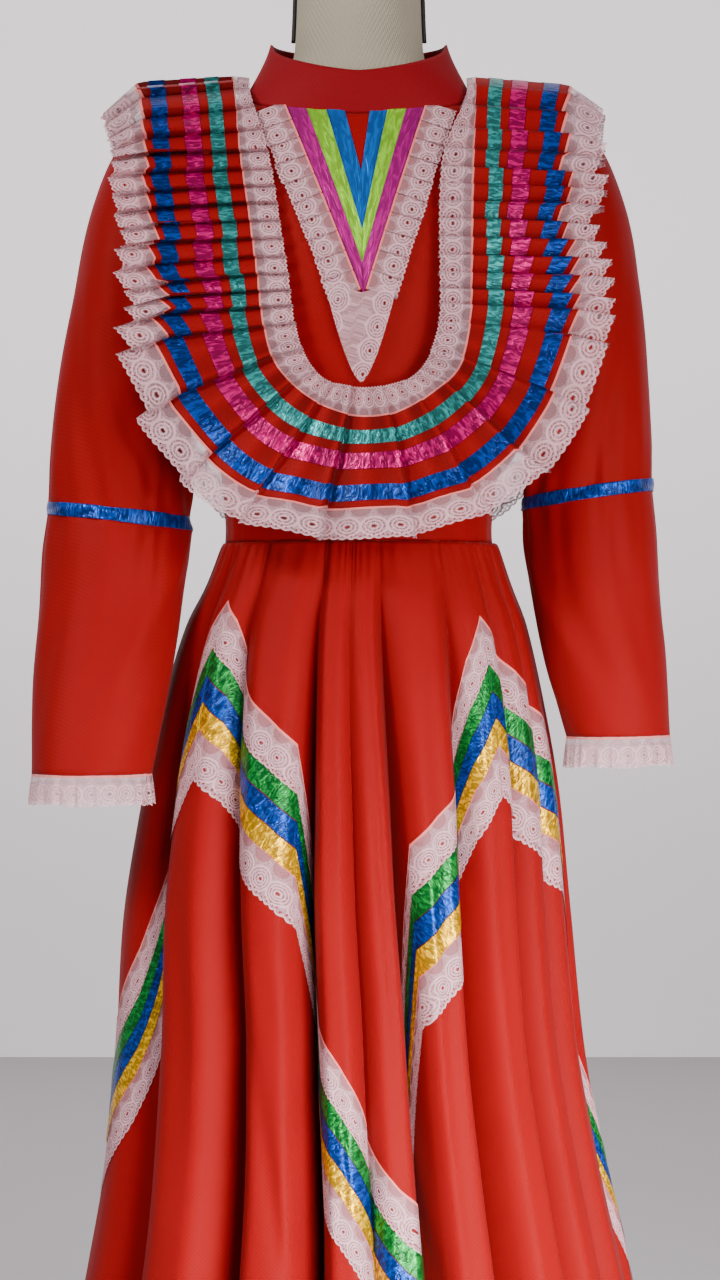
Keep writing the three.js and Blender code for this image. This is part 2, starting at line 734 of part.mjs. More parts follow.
function skirtPoint(at, z) {
  const i = Math.floor(at + 0.5) - 1;
  const turn = Math.floor(i / FOLD_COUNT) * 360;
  const row = FOLDS[((i % FOLD_COUNT) + FOLD_COUNT) % FOLD_COUNT];
  const before = FOLDS[(((i - 1) % FOLD_COUNT) + FOLD_COUNT) % FOLD_COUNT];
  const turnBefore = Math.floor((i - 1) / FOLD_COUNT) * 360;
  const off = (at - (i + 1)) * 2;
  const s = Math.abs(off);
  const crest = foldAngle(row, 'crest', z) + turn;
  const trough = off >= 0 ? foldAngle(row, 'trough', z) + turn : foldAngle(before, 'trough', z) + turnBefore;
  const share = off >= 0 ? row.share : before.share;
  const angle = mix(crest, trough, 1 - (1 - s) ** BROAD) * DEG;
  const depth = share * along(SKIRT_SECTIONS, 'z', 'fold', z) * smooth((s - CREST_FLAT) / (1 - CREST_FLAT));
  const w = along(SKIRT_SECTIONS, 'z', 'w', z) - depth;
  const d = along(SKIRT_SECTIONS, 'z', 'd', z) - depth;
  const shift = along(SKIRT_SECTIONS, 'z', 'shift', z);
  return new THREE.Vector3(shift + w * Math.sin(angle), -d * Math.cos(angle), z);
}

const CREST_HALF = 0.16;
const PLACES_A_FOLD = 3;
const SIDE_SEAM_FOLD = 9;
const ROWS_ABOVE = [0, 0.1, 0.3, 0.62];
const ROWS_BELOW = [0.35, 1];
function skirtGrid() {
  const grid = [];
  const cuts = [...ZIGZAG_STRIPS.map((s) => s.from), ZIGZAG_STRIPS[ZIGZAG_STRIPS.length - 1].to];
  const places = FOLDS.flatMap((_, i) => [i + 0.5, i + 1 - CREST_HALF, i + 1 + CREST_HALF]);
  places.forEach((at) => {
    const edge = between(ZIGZAG_EDGE, 'at', 'z', at);
    const foot = edge - cuts[cuts.length - 1];
    const heights = [
      ...ROWS_ABOVE.map((f) => mix(WAIST_Z - SEAM, edge, f)),
      ...cuts.map((cut) => edge - cut),
      ...ROWS_BELOW.map((f) => mix(foot, HEM_Z, f)),
    ];
    grid.push(heights.map((z) => skirtPoint(at, z)));
  });
  return grid;
}

function buildSkirt() {
  const grid = skirtGrid();
  const ways = outward(grid, true, -1);
  const under = moved(grid, ways, -CLOTH);
  const seam = SIDE_SEAM_FOLD * PLACES_A_FOLD;
  const cols = grid.length;
  const panel = (name, from, to) => {
    const pick = (g) => {
      const out = [];
      for (let i = from; i <= to; i += 1) {
        out.push(g[i % cols].map((p) => p.clone()));
      }
      const draw = (col, next) =>
        col.forEach((p, j) => {
          const toward = new THREE.Vector3().subVectors(next[j], p).normalize();
          p.addScaledVector(toward, SEAM * 0.6);
        });
      draw(out[0], out[1]);
      draw(out[out.length - 1], out[out.length - 2]);
      return out;
    };
    addWall(name, pick(grid), pick(under), false, RED);
  };
  panel('skirt_front', 0, seam);
  panel('skirt_back', seam, cols);
  ZIGZAG_STRIPS.forEach((strip, k) => {
    const first = ROWS_ABOVE.length + k;
    addStrip(strip.node, grid, ways, true, first, first + 1, strip.wall, strip.color);
  });
}

// Bib: the four lines at a pleat number; behind, the front lines are mirrored
function bibLines(pleat, back) {
  const read = (line) => {
    const p = new THREE.Vector3(
      along(BIB_FRONT, 'pleat', `${line}x`, pleat),
      along(BIB_FRONT, 'pleat', `${line}y`, pleat),
      along(BIB_FRONT, 'pleat', `${line}z`, pleat),
    );
    p.y *= back ? -BACK_FLATTEN : 1;
    return p;
  };
  return {
    a: clearOfBody(read('a'), BODICE_CLEAR + (back ? 16 : 7.5)),
    b: clearOfBody(read('b'), BODICE_CLEAR + (back ? 8 : 5.5)),
    c: read('c'),
    e: read('e'),
  };
}

// A point pushed straight out of the body, if it lies nearer than off
function clearOfBody(p, off) {
  const depthIn = (q) => {
    const w = along(FORM_SECTIONS, 'z', 'w', q.z) + off;
    const d = along(FORM_SECTIONS, 'z', 'd', q.z) + off;
    return Math.hypot(q.x / w, q.y / d) - 1;
  };
  const STEP = 0.5;
  const out = p.clone();
  for (let k = 0; k < 8; k += 1) {
    const here = depthIn(out);
    if (here > -0.0005) {
      break;
    }
    const rise = new THREE.Vector3(
      depthIn(out.clone().setX(out.x + STEP)) - here,
      depthIn(out.clone().setY(out.y + STEP)) - here,
      depthIn(out.clone().setZ(out.z + STEP)) - here,
    ).multiplyScalar(1 / STEP);
    out.addScaledVector(rise, -here / rise.lengthSq());
  }
  return out;
}

// Height of a pleat's fold at the inner seam and at the flounce's end
function pleatHeights(pleat, back) {
  const bottom = smooth((5.5 - Math.abs(pleat - 18.5)) / 2.5);
  const seam = mix(5, 4, bottom);
  const end = mix(7, 13, bottom);
  return back ? { seam: seam + 1, end: end + 1 } : { seam, end };
}

function bibColumns() {
  const columns = [];
  for (let k = 0; k < FRONT_PLEATS; k += 1) {
    columns.push({ pleat: k, raised: false, back: false });
    columns.push({ pleat: k + PLEAT_FOLD_AT, raised: true, back: false });
  }
  for (let k = 0; k < BACK_PLEATS; k += 1) {
    const wide = FRONT_PLEATS / BACK_PLEATS;
    columns.push({ pleat: FRONT_PLEATS - k * wide, raised: false, back: true });
    columns.push({ pleat: FRONT_PLEATS - (k + PLEAT_FOLD_AT) * wide, raised: true, back: true });
  }
  return columns;
}

function buildBib() {
  const columns = bibColumns();
  const base = columns.map(({ pleat, back }) => {
    const { a, b, c, e } = bibLines(pleat, back);
    return [a, ...BIB_LINES.map((f) => b.clone().lerp(c, f)), e];
  });
  const lift = outward(base, true, -1).map((col) => col.map((n) => n.normalize()));
  const grid = base.map((col, i) => {
    const { pleat, raised, back } = columns[i];
    const high = pleatHeights(pleat, back);
    return col.map((p, j) => {
      const f = j === 0 ? 0 : j === col.length - 1 ? 1 : BIB_LINES[j - 1];
      const rise = raised ? mix(high.seam, high.end, f) * (j === 0 ? 0.7 : 1) : 0;
      return p.clone().addScaledVector(lift[i][j], rise);
    });
  });
  const ways = outward(grid, true, -1);
  const last = grid[0].length - 1;
  const cut = (g, from, to) => g.map((col) => col.slice(from, to + 1).map((p) => p.clone()));
  const drawIn = (g, inFirst, inLast) => {
    g.forEach((col) => {
      const n = col.length - 1;
      if (inFirst) {
        col[0].addScaledVector(new THREE.Vector3().subVectors(col[1], col[0]).normalize(), SEAM * 0.6);
      }
      if (inLast) {
        col[n].addScaledVector(new THREE.Vector3().subVectors(col[n - 1], col[n]).normalize(), SEAM * 0.6);
      }
    });
    return g;
  };
  const under = (wall) => moved(grid, ways, -wall);
  addWall(
    'bib_flounce',
    drawIn(cut(grid, 1, last - 1), true, true),
    drawIn(cut(under(BIB_WALL), 1, last - 1), true, true),
    true,
    RED,
    BIB_UNDER_LINES,
  );
  addWall(
    'bib_lace_inner',
    drawIn(cut(grid, 0, 1), false, true),
    drawIn(cut(under(LACE), 0, 1), false, true),
    true,
    0xe8d4d6,
  );
  addWall(
    'bib_lace_outer',
    drawIn(cut(grid, last - 1, last), true, false),
    drawIn(cut(under(LACE), last - 1, last), true, false),
    true,
    0xe8d4d6,
  );
  BIB_RIBBONS.forEach(({ node, line, color }) => {
    addStrip(node, grid, ways, true, line + 1, line + 2, TRIM, color);
  });
}

// Yoke: nested V ribbons on the front panel and pleated lace down the outside of the V
const YOKE_LAY = BODICE_CLEAR + 0.9;
function yokeEdge(edge, t, inset) {
  const right = t > 0.5;
  const k = right ? 2 - 2 * t : 2 * t;
  const x = mix(right ? edge.rx : edge.lx, edge.tx, k);
  const z = mix(right ? edge.rz : edge.lz, edge.tz, k);
  return new THREE.Vector2(x, z + inset * 2);
}

function onFront(p, off) {
  return new THREE.Vector3(p.x, bodyFront(p.x, p.y, off), p.y);
}

function buildYoke() {
  const STEPS = 12;
  YOKE_RIBBONS.forEach(({ node, edge, color }) => {
    const columns = [];
    for (let i = 0; i <= STEPS; i += 1) {
      columns.push([
        yokeEdge(YOKE_EDGES[edge], i / STEPS, 0),
        yokeEdge(YOKE_EDGES[edge + 1], i / STEPS, -SEAM),
      ]);
    }
    const at = (off) => columns.map((col) => col.map((p) => onFront(p, off)));
    addWall(node, at(YOKE_LAY + TRIM), at(YOKE_LAY), false, color, null, 0.5);
  });

  const edge = YOKE_EDGES[0];
  [-1, 1].forEach((side) => {
    const ex = side < 0 ? edge.lx : edge.rx;
    const ez = side < 0 ? edge.lz : edge.rz;
    const run = new THREE.Vector2(edge.tx - ex, edge.tz - ez);
    const leg = run.length();
    run.normalize();
    const out = new THREE.Vector2(side * Math.abs(run.y), -Math.abs(run.x));
    const columns = [];
    const END_CLEAR = 6;
    for (let k = 0; k < YOKE_PLEATS; k += 1) {
      [0, 0.8].forEach((part) => {
        columns.push({ s: ((k + part) / YOKE_PLEATS) * (leg - END_CLEAR), raised: part > 0 });
      });
    }
    const lace = (lay) =>
      columns.map(({ s, raised }) =>
        [SEAM, YOKE_LACE_WIDTH].map((v) => {
          const p = new THREE.Vector2(ex, ez).addScaledVector(run, s).addScaledVector(out, v);
          const rise = raised ? YOKE_PLEAT_HEIGHT * (0.6 + (0.4 * v) / YOKE_LACE_WIDTH) : 0;
          return onFront(p, YOKE_LAY + lay + rise);
        }),
      );
    addWall(side < 0 ? 'yoke_lace_left' : 'yoke_lace_right', lace(LACE), lace(0), false, 0xe8d4d6);
  });

  // The pointed end over the tip of the V
  const TIP_TOP_Z = 1222;
  const TIP_LOW_Z = 1150;
  const TIP_HALF = 33;
  const TIP_RISE = YOKE_PLEAT_HEIGHT + LACE + 0.4;
  const tip = (lay) =>
    [-1, -0.5, 0, 0.5, 1].map((k) =>
      [0, 0.5, 1].map((v) => {
        const low = mix(TIP_LOW_Z, TIP_TOP_Z - 14, Math.abs(k));
        const x = 2 + k * TIP_HALF * (1 - 0.25 * v);
        const z = mix(TIP_TOP_Z + 12 * Math.abs(k), low, v);
        return onFront(new THREE.Vector2(x, z), YOKE_LAY + TIP_RISE + lay);
      }),
    );
  addWall('yoke_lace_tip', tip(LACE), tip(0), false, 0xe8d4d6);
}

buildForm();
buildBodice();
addWall('collar_band', collarGrid(COLLAR_WALL), collarGrid(0), false, 0xb8282a);
buildSleeve(SLEEVE_LEFT, -1, 'left');
buildSleeve(SLEEVE_RIGHT, 1, 'right');
buildSkirt();
buildBib();
buildYoke();

export default group;
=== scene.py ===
"""A long-sleeved folk dance dress with a pleated, ribboned bib, on a linen dress form.

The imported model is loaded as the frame, and every piece is rebuilt over its solid: cloth as
thin shells with their folds, ribbons and lace laid on them, and the dress form as smooth solids.
Sizes are in millimetres and become metres when a mesh is made.
"""
import logging
import math
from collections.abc import Callable, Sequence
from dataclasses import dataclass, field
from enum import Enum

import bmesh
import bpy
import numpy as np
from mathutils import Matrix, Vector


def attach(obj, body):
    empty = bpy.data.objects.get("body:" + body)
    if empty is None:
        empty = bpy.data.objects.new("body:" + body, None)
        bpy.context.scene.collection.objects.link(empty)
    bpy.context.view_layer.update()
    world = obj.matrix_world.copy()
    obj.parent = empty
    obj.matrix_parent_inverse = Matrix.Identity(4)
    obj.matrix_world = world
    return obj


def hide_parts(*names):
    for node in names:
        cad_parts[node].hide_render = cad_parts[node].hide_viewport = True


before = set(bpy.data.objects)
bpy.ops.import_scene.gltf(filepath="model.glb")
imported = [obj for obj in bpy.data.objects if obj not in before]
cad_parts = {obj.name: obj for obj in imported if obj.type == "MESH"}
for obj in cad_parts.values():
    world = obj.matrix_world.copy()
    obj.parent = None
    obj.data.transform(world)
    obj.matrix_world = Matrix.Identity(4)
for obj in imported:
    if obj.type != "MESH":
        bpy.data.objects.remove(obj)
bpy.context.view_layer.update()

LOG = logging.getLogger("dress")
MM = 0.001
Array = np.ndarray


# Tables and curves


def hermite(t: Array, start: Array, end: Array, leave: Array, arrive: Array) -> Array:
    """A cubic between two values.

    Args:
        t: from 0 at the start to 1 at the end.
        start: the first value.
        end: the last value.
        leave: the slope at the start, for the whole space.
        arrive: the slope at the end, for the whole space.

    Returns:
        The values at t.
    """
    return (
        (2 * t**3 - 3 * t**2 + 1) * start
        + (t**3 - 2 * t**2 + t) * leave
        + (3 * t**2 - 2 * t**3) * end
        + (t**3 - t**2) * arrive
    )


class Table:
    """Rows of named columns, read by a key column."""

    def __init__(self, columns: str, rows: Sequence[Sequence[float]]) -> None:
        """Keeps the rows.

        Args:
            columns: the columns' names, the key first.
            rows: a row for each section, in the key's order.
        """
        names = columns.split()
        data = np.array(rows, float)
        if data[-1, 0] < data[0, 0]:
            data = data[::-1]
        self.key = data[:, 0]
        self.data = {name: data[:, i] for i, name in enumerate(names)}

    def straight(self, column: str, at: Array) -> Array:
        """The column's value at a key, by straight lines."""
        return np.interp(at, self.key, self.data[column])

    def smooth(self, column: str, at: Array) -> Array:
        """The column's value at a key, by a curve whose slopes come from the neighbours.

        Args:
            column: the column's name.
            at: keys, held within the table.

        Returns:
            The values.
        """
        key, value = self.key, self.data[column]
        at = np.clip(at, key[0], key[-1])
        slope = np.empty_like(value)
        slope[1:-1] = (value[2:] - value[:-2]) / (key[2:] - key[:-2])
        slope[0] = (value[1] - value[0]) / (key[1] - key[0])
        slope[-1] = (value[-1] - value[-2]) / (key[-1] - key[-2])
        i = np.clip(np.searchsorted(key, at, side="right") - 1, 0, len(key) - 2)
        h = key[i + 1] - key[i]
        return hermite((at - key[i]) / h, value[i], value[i + 1], h * slope[i], h * slope[i + 1])


def mix(a: Array, b: Array, t: Array) -> Array:
    """A value between a and b."""
    return a + (b - a) * t


def ease(t: Array) -> Array:
    """A soft step from 0 to 1."""
    c = np.clip(t, 0.0, 1.0)
    return c * c * (3 - 2 * c)


def bell(x: Array, width: float) -> Array:
    """A soft hump of 1 at 0 that is nearly gone at twice the width."""
    return np.exp(-((x / width) ** 2))


def uneven(seed: float, at: Array) -> Array:
    """A fixed, uneven value from -1 to 1 for whole numbers, soft between them.

    Args:
        seed: a number that sets one pattern apart from the next.
        at: places along the pattern.

    Returns:
        Values from -1 to 1.
    """
    at = np.asarray(at, float)
    low = np.floor(at)

    def pick(k: Array) -> Array:
        """A value from -1 to 1 that only the whole number decides."""
        v = np.sin(k * 12.9898 + seed * 78.233) * 43758.5453
        return 2 * (v - np.floor(v)) - 1

    return mix(pick(low), pick(low + 1), ease(at - low))


# The dress's sizes

BODY = Table(
    "z w d",
    [
        (760, 148, 113), (830, 149, 117), (900, 143, 112), (960, 130, 101), (1010, 120, 94),
        (1060, 123, 97), (1110, 130, 104), (1160, 138, 112), (1210, 146, 117), (1260, 152, 114),
        (1310, 160, 104), (1350, 166, 90), (1380, 168, 77), (1398, 156, 67), (1412, 130, 61),
        (1428, 100, 58), (1442, 77, 57), (1456, 64, 56), (1470, 60, 56), (1540, 57, 55),
    ],
)
SKIRT = Table(
    "z w d shift fold",
    [
        (1010, 128, 102, 1, 3.5), (970, 143, 119, 0, 8), (934, 159, 135, -2, 15),
        (870, 176, 156, -4, 23), (785, 193, 172, -7, 32), (672, 208, 186, -11, 40),
        (545, 218, 196, -8, 46), (434, 234, 210, -3, 53), (340, 252, 226, 0, 58),
        (200, 277, 247, 0, 62), (30, 305, 270, 0, 66),
    ],
)
FOLDS = Table(
    "fold crest crest_top trough trough_top share",
    [
        (1, -84, -80, -60, -64, 0.6), (2, -43, -52, -31, -42, 0.9), (3, -19, -27, -9.5, -14, 1.15),
        (4, -2.5, -8, 3.5, -3, 0.4), (5, 10, 2, 16.5, 8, 1.05), (6, 25, 20, 34, 34, 0.95),
        (7, 44, 45, 51, 54, 0.55), (8, 58, 62, 65, 69, 0.5), (9, 73, 76, 82, 84, 0.6),
        (10, 93, 93, 104, 104, 0.8), (11, 116, 116, 128, 128, 0.85), (12, 140, 140, 152, 152, 0.9),
        (13, 164, 164, 176, 176, 0.85), (14, 188, 188, 200, 200, 0.9), (15, 212, 212, 224, 224, 0.85),
        (16, 236, 236, 247, 247, 0.8), (17, 257, 258, 267, 269, 0.5),
    ],
)
ZIGZAG = Table(
    "at z",
    [
        (0.5, 600), (0.75, 575), (1.0, 565), (1.25, 640), (1.5, 745), (1.75, 900), (2.0, 956),
        (2.25, 938), (2.5, 905), (2.75, 878), (3.0, 852), (3.25, 828), (3.5, 690), (3.75, 582),
        (4.0, 552), (4.5, 492), (5.0, 444), (5.25, 428), (5.5, 560), (5.75, 740), (6.25, 788),
        (6.5, 835), (6.75, 902), (7.0, 942), (7.25, 922), (8.0, 886), (9.0, 848), (9.5, 640),
        (10.0, 450), (10.25, 398), (10.5, 430), (11.25, 660), (12.0, 900), (12.25, 942),
        (12.5, 905), (13.5, 580), (14.0, 425), (14.25, 402), (14.5, 450), (15.25, 780),
        (15.75, 940), (16.0, 915), (16.75, 745), (17.5, 600),
    ],
)
ARMHOLE = Table(
    "z angle",
    [(1245, 89.9), (1262, 73), (1325, 57), (1382, 62), (1402, 76), (1412, 89.9)],
)
BIB = Table(
    "pleat ax ay az bx by bz cx cy cz ex ey ez",
    [
        (0, -103, 0, 1440, -119, 0, 1441, -204, 0, 1434, -236, 0, 1405),
        (1, -101, -30, 1428, -116, -32, 1429, -201, -36, 1419, -235, -38, 1391),
        (2, -93, -52, 1404, -112, -54, 1405, -198, -60, 1396, -231, -64, 1375),
        (4, -80, -82, 1361, -108, -80, 1362, -195, -84, 1357, -227, -87, 1351),
        (8, -70, -110, 1296, -98, -106, 1296, -188, -98, 1293, -219, -101, 1288),
        (11, -62, -120, 1247, -91, -115, 1247, -179, -108, 1240, -209, -111, 1232),
        (14, -56, -126, 1203, -85, -121, 1200, -170, -117, 1190, -204, -119, 1177),
        (15.3, -47, -127, 1174, -74, -124, 1165, -152, -127, 1124, -180, -130, 1103),
        (16.6, -31, -127, 1153, -47, -127, 1137, -109, -134, 1062, -129, -138, 1037),
        (17.8, -11, -128, 1147, -17, -128, 1122, -44, -138, 1037, -49, -142, 1010),
        (18.5, 6, -128, 1145, 8, -128, 1118, 8, -139, 1033, 8, -143, 1004),
        (19.2, 24, -128, 1147, 34, -128, 1122, 60, -138, 1038, 66, -142, 1012),
        (20.4, 46, -127, 1154, 65, -127, 1139, 121, -134, 1064, 144, -138, 1042),
        (21.7, 61, -127, 1172, 90, -124, 1163, 165, -126, 1122, 196, -129, 1104),
        (23, 70, -125, 1203, 99, -121, 1201, 187, -117, 1192, 221, -119, 1184),
        (26, 71, -120, 1247, 101, -115, 1247, 188, -108, 1243, 219, -111, 1240),
        (29, 71, -110, 1296, 102, -106, 1296, 185, -98, 1295, 214, -101, 1291),
        (33, 74, -82, 1361, 104, -80, 1362, 187, -84, 1356, 221, -87, 1350),
        (35, 91, -52, 1404, 106, -54, 1405, 190, -60, 1395, 223, -64, 1377),
        (36, 99, -30, 1427, 108, -32, 1428, 193, -36, 1416, 225, -38, 1394),
        (37, 101, 0, 1439, 109, 0, 1440, 194, 0, 1430, 225, 0, 1408),
    ],
)
TABS = Table(
    "pleat out",
    [
        (0, 2), (8, 4), (10, 8), (12, 12), (14.5, 15), (16, 6), (17.5, 2), (20, 2), (22.5, 6),
        (25, 12), (27, 13), (28.5, 6), (37, 3),
    ],
)
SLEEVE_COLUMNS = "ring ox oz ix iz half y"
SLEEVE_LEFT = Table(
    SLEEVE_COLUMNS,
    [
        (1, -180, 1412, -158, 1226, 60, 0), (2, -220, 1386, -161, 1202, 68, -1),
        (3, -249, 1322, -160, 1170, 70, -3), (4, -267, 1236, -157, 1130, 70, -6),
        (5, -283, 1140, -154, 1085, 68, -9), (6, -290, 1048, -154, 1034, 66, -14),
        (7, -291, 1036, -155, 1021, 66, -16), (8, -295, 950, -164, 950, 61, -36),
        (9, -298, 868, -173, 872, 58, -64), (10, -296, 800, -187, 800, 52, -92),
    ],
)
SLEEVE_RIGHT = Table(
    SLEEVE_COLUMNS,
    [
        (1, 180, 1412, 158, 1226, 60, 0), (2, 219, 1388, 161, 1202, 68, -1),
        (3, 247, 1328, 160, 1170, 70, -3), (4, 262, 1250, 156, 1130, 70, -6),
        (5, 270, 1160, 152, 1090, 68, -9), (6, 274, 1070, 150, 1052, 64, -14),
        (7, 275, 1058, 150, 1040, 64, -16), (8, 279, 960, 160, 958, 60, -28),
        (9, 283, 890, 174, 888, 56, -44), (10, 285, 834, 190, 832, 49, -56),
    ],
)

WAIST_Z = 1010.0
HEM_Z = 30.0
FORM_FOOT_Z = 760.0
FORM_TOP_Z = 1540.0
NECK_FRONT_Z = 1399.0
NECK_SIDE_Z = 1436.0
NECK_BACK_Z = 1438.0
NECK_CURVE = 1.5
BODICE_CLEAR = 4.2
FOLD_COUNT = 17
FRONT_PLEATS = 37
BACK_PLEATS = 13
BACK_FLATTEN = 0.97


# Finishes

# The colour that painted shade darkens the cloth towards.
SHADE = (0.12, 0.08, 0.09, 1)


class ClothColour(Enum):
    """The dress's colours, as light from the cloth."""

    RED = (0.24, 0.0032, 0.0042)
    COLLAR_RED = (0.21, 0.004, 0.008)
    TEAL = (0.035, 0.30, 0.29)
    PINK = (0.60, 0.0, 0.15)
    ROYAL = (0.002, 0.045, 0.30)
    MAGENTA = (0.44, 0.008, 0.21)
    LIME = (0.30, 0.68, 0.03)
    YOKE_BLUE = (0.003, 0.12, 0.48)
    GREEN = (0.006, 0.20, 0.03)
    YELLOW = (0.84, 0.42, 0.0006)
    LACE = (0.68, 0.38, 0.42)
    HEADER = (0.90, 0.13, 0.10)
    LINEN = (0.37, 0.32, 0.24)
    PIPING = (0.012, 0.009, 0.008)
    STAND = (0.02, 0.018, 0.017)


def rgba(colour: ClothColour, share: float = 1.0) -> tuple[float, float, float, float]:
    """The colour with its alpha, made darker or lighter by a share."""
    return (*(min(1.0, c * share) for c in colour.value), 1.0)


class Nodes:
    """A material's or a group's nodes, with short ways to add and join them."""

    def __init__(self, tree: bpy.types.NodeTree) -> None:
        """Keeps the tree."""
        self.tree = tree

    def add(self, kind: str, **values: object) -> bpy.types.Node:
        """Adds a node and sets its properties.

        Args:
            kind: the node's type name.
            values: properties by name.

        Returns:
            The node.
        """
        node = self.tree.nodes.new(kind)
        for name, value in values.items():
            setattr(node, name, value)
        return node

    def join(self, source: bpy.types.NodeSocket, target: bpy.types.NodeSocket) -> None:
        """Links two sockets."""
        self.tree.links.new(source, target)

    def math(self, operation: str, a: object, b: object = None, clamp: bool = False) -> bpy.types.NodeSocket:
        """A Math node's result.

        Args:
            operation: the node's operation.
            a: a socket or a number.
            b: a socket or a number, or None.
            clamp: whether the result stays from 0 to 1.

        Returns:
            The result's socket.
        """
        node = self.add("ShaderNodeMath", operation=operation, use_clamp=clamp)
        for i, value in enumerate((a, b)):
            if isinstance(value, bpy.types.NodeSocket):
                self.join(value, node.inputs[i])
            elif value is not None:
                node.inputs[i].default_value = value
        return node.outputs[0]

    def times(self, a: object, b: object) -> bpy.types.NodeSocket:
        """The product of two values."""
        return self.math("MULTIPLY", a, b)

    def plus(self, a: object, b: object) -> bpy.types.NodeSocket:
        """The sum of two values."""
        return self.math("ADD", a, b)

    def less(self, a: object, b: object) -> bpy.types.NodeSocket:
        """The first value less the second."""
        return self.math("SUBTRACT", a, b)

    def most(self, a: object, b: object) -> bpy.types.NodeSocket:
        """The larger of two values."""
        return self.math("MAXIMUM", a, b)

    def beside(self, value: object, centre: float) -> bpy.types.NodeSocket:
        """How far a value is from a centre."""
        return self.math("ABSOLUTE", self.less(value, centre))

    def shaded(self, colour: bpy.types.NodeSocket, depth: float) -> bpy.types.NodeSocket:
        """A colour darkened toward the shade colour where the piece's own mark of painted shade says so.

        Args:
            colour: the colour.
            depth: how much of it goes in the full mark.

        Returns:
            The darker colour's socket.
        """
        # The mark is painted shade, set on a piece where shade falls in its valleys and under its folds and
        # edges.
        mark = self.add("ShaderNodeAttribute", attribute_name="layers")
        node = self.add("ShaderNodeMix", data_type="RGBA", blend_type="MULTIPLY")
        self.join(self.math("MULTIPLY", mark.outputs["Fac"], depth, clamp=True), node.inputs["Factor"])
        self.join(colour, node.inputs["A"])
        node.inputs["B"].default_value = SHADE
        return node.outputs["Result"]

    def tint(
        self, colour: ClothColour, factor: bpy.types.NodeSocket, low: float, high: float
    ) -> bpy.types.NodeSocket:
        """A colour between a darker and a lighter share of it.

        Args:
            colour: the colour.
            factor: 0 for the darker one and 1 for the lighter one.
            low: the darker one's share.
            high: the lighter one's share.

        Returns:
            The colour's socket.
        """
        node = self.add("ShaderNodeMix", data_type="RGBA")
        node.inputs["A"].default_value = rgba(colour, low)
        node.inputs["B"].default_value = rgba(colour, high)
        self.join(factor, node.inputs["Factor"])
        return node.outputs["Result"]

    def bump(self, height: bpy.types.NodeSocket, strength: float, distance: float) -> bpy.types.NodeSocket:
        """A normal from a height.

        Args:
            height: the height's socket.
            strength: how much of the relief shows.
            distance: the relief's height in metres.

        Returns:
            The normal's socket.
        """
        node = self.add("ShaderNodeBump")
        node.inputs["Strength"].default_value = strength
        node.inputs["Distance"].default_value = distance
        self.join(height, node.inputs["Height"])
        return node.outputs[0]

    def cloth_map(self) -> bpy.types.Node:
        """The cloth's own map, split into its parts.

        Returns:
            The splitting node.
        """
        split = self.add("ShaderNodeSeparateXYZ")
        self.join(self.add("ShaderNodeUVMap", uv_map="cloth").outputs[0], split.inputs[0])
        return split

    def ramp(self, value: bpy.types.NodeSocket, low: float, high: float) -> bpy.types.NodeSocket:
        """A soft step of a value between two limits.

        Args:
            value: the value's socket.
            low: where the step is 0.
            high: where it is 1.

        Returns:
            The step's socket.
        """
        node = self.add("ShaderNodeMapRange", interpolation_type="SMOOTHSTEP")
        self.join(value, node.inputs["Value"])
        node.inputs["From Min"].default_value = low
        node.inputs["From Max"].default_value = high
        return node.outputs["Result"]


def group_of(name: str, inputs: dict[str, float], outputs: Sequence[str]) -> tuple[bpy.types.NodeTree, bool]:
    """A shader node group, made once.

    Args:
        name: the group's name.
        inputs: its value sockets and their defaults.
        outputs: its value outputs.

    Returns:
        The group, and whether it is new and still empty.
    """
    found = bpy.data.node_groups.get(name)
    if found:
        return found, False
    group = bpy.data.node_groups.new(name, "ShaderNodeTree")
    for key, value in inputs.items():
        socket = group.interface.new_socket(key, in_out="INPUT", socket_type="NodeSocketFloat")
        socket.default_value = value
    for key in outputs:
        group.interface.new_socket(key, in_out="OUTPUT", socket_type="NodeSocketFloat")
    return group, True


def weave_group() -> bpy.types.NodeTree:
    """Plain weave: a height of crossing threads over the cloth's own map, with a slight mottle.

    Returns:
        The group.
    """
    group, new = group_of("plain_weave", {"Threads": 1700.0}, ("Height", "Mottle"))
    if not new:
        return group
    n = Nodes(group)
    entry, leave = n.add("NodeGroupInput"), n.add("NodeGroupOutput")
    split = n.cloth_map()
    threads = entry.outputs["Threads"]
    waves = [n.math("SINE", n.times(split.outputs[axis], threads)) for axis in (0, 1)]
    place = n.add("ShaderNodeTexCoord")
    cloud = n.add("ShaderNodeTexNoise")
    n.join(place.outputs["Object"], cloud.inputs["Vector"])
    cloud.inputs["Scale"].default_value = 9.0
    cloud.inputs["Detail"].default_value = 3.0
    n.join(n.times(*waves), leave.inputs["Height"])
    n.join(cloud.outputs["Fac"], leave.inputs["Mottle"])
    return group


def crinkle_group() -> bpy.types.NodeTree:
    """Satin crinkle: short uneven puckers across a ribbon, by its own map, and a mask of their crests for
    painted sheen.

    Returns:
        The group.
    """
    group, new = group_of("satin_crinkle", {"Along": 150.0, "Across": 55.0}, ("Height", "Sheen Mask"))
    if not new:
        return group
    n = Nodes(group)
    entry, leave = n.add("NodeGroupInput"), n.add("NodeGroupOutput")
    split = n.cloth_map()
    joined = n.add("ShaderNodeCombineXYZ")
    for axis, way in enumerate(("Along", "Across")):
        n.join(n.times(split.outputs[axis], entry.outputs[way]), joined.inputs[axis])
    pucker = n.add("ShaderNodeTexNoise")
    n.join(joined.outputs[0], pucker.inputs["Vector"])
    pucker.inputs["Scale"].default_value = 1.0
    pucker.inputs["Detail"].default_value = 2.0
    pucker.inputs["Distortion"].default_value = 1.1
    n.join(pucker.outputs["Fac"], leave.inputs["Height"])
    n.join(n.ramp(pucker.outputs["Fac"], 0.42, 0.66), leave.inputs["Sheen Mask"])
    return group


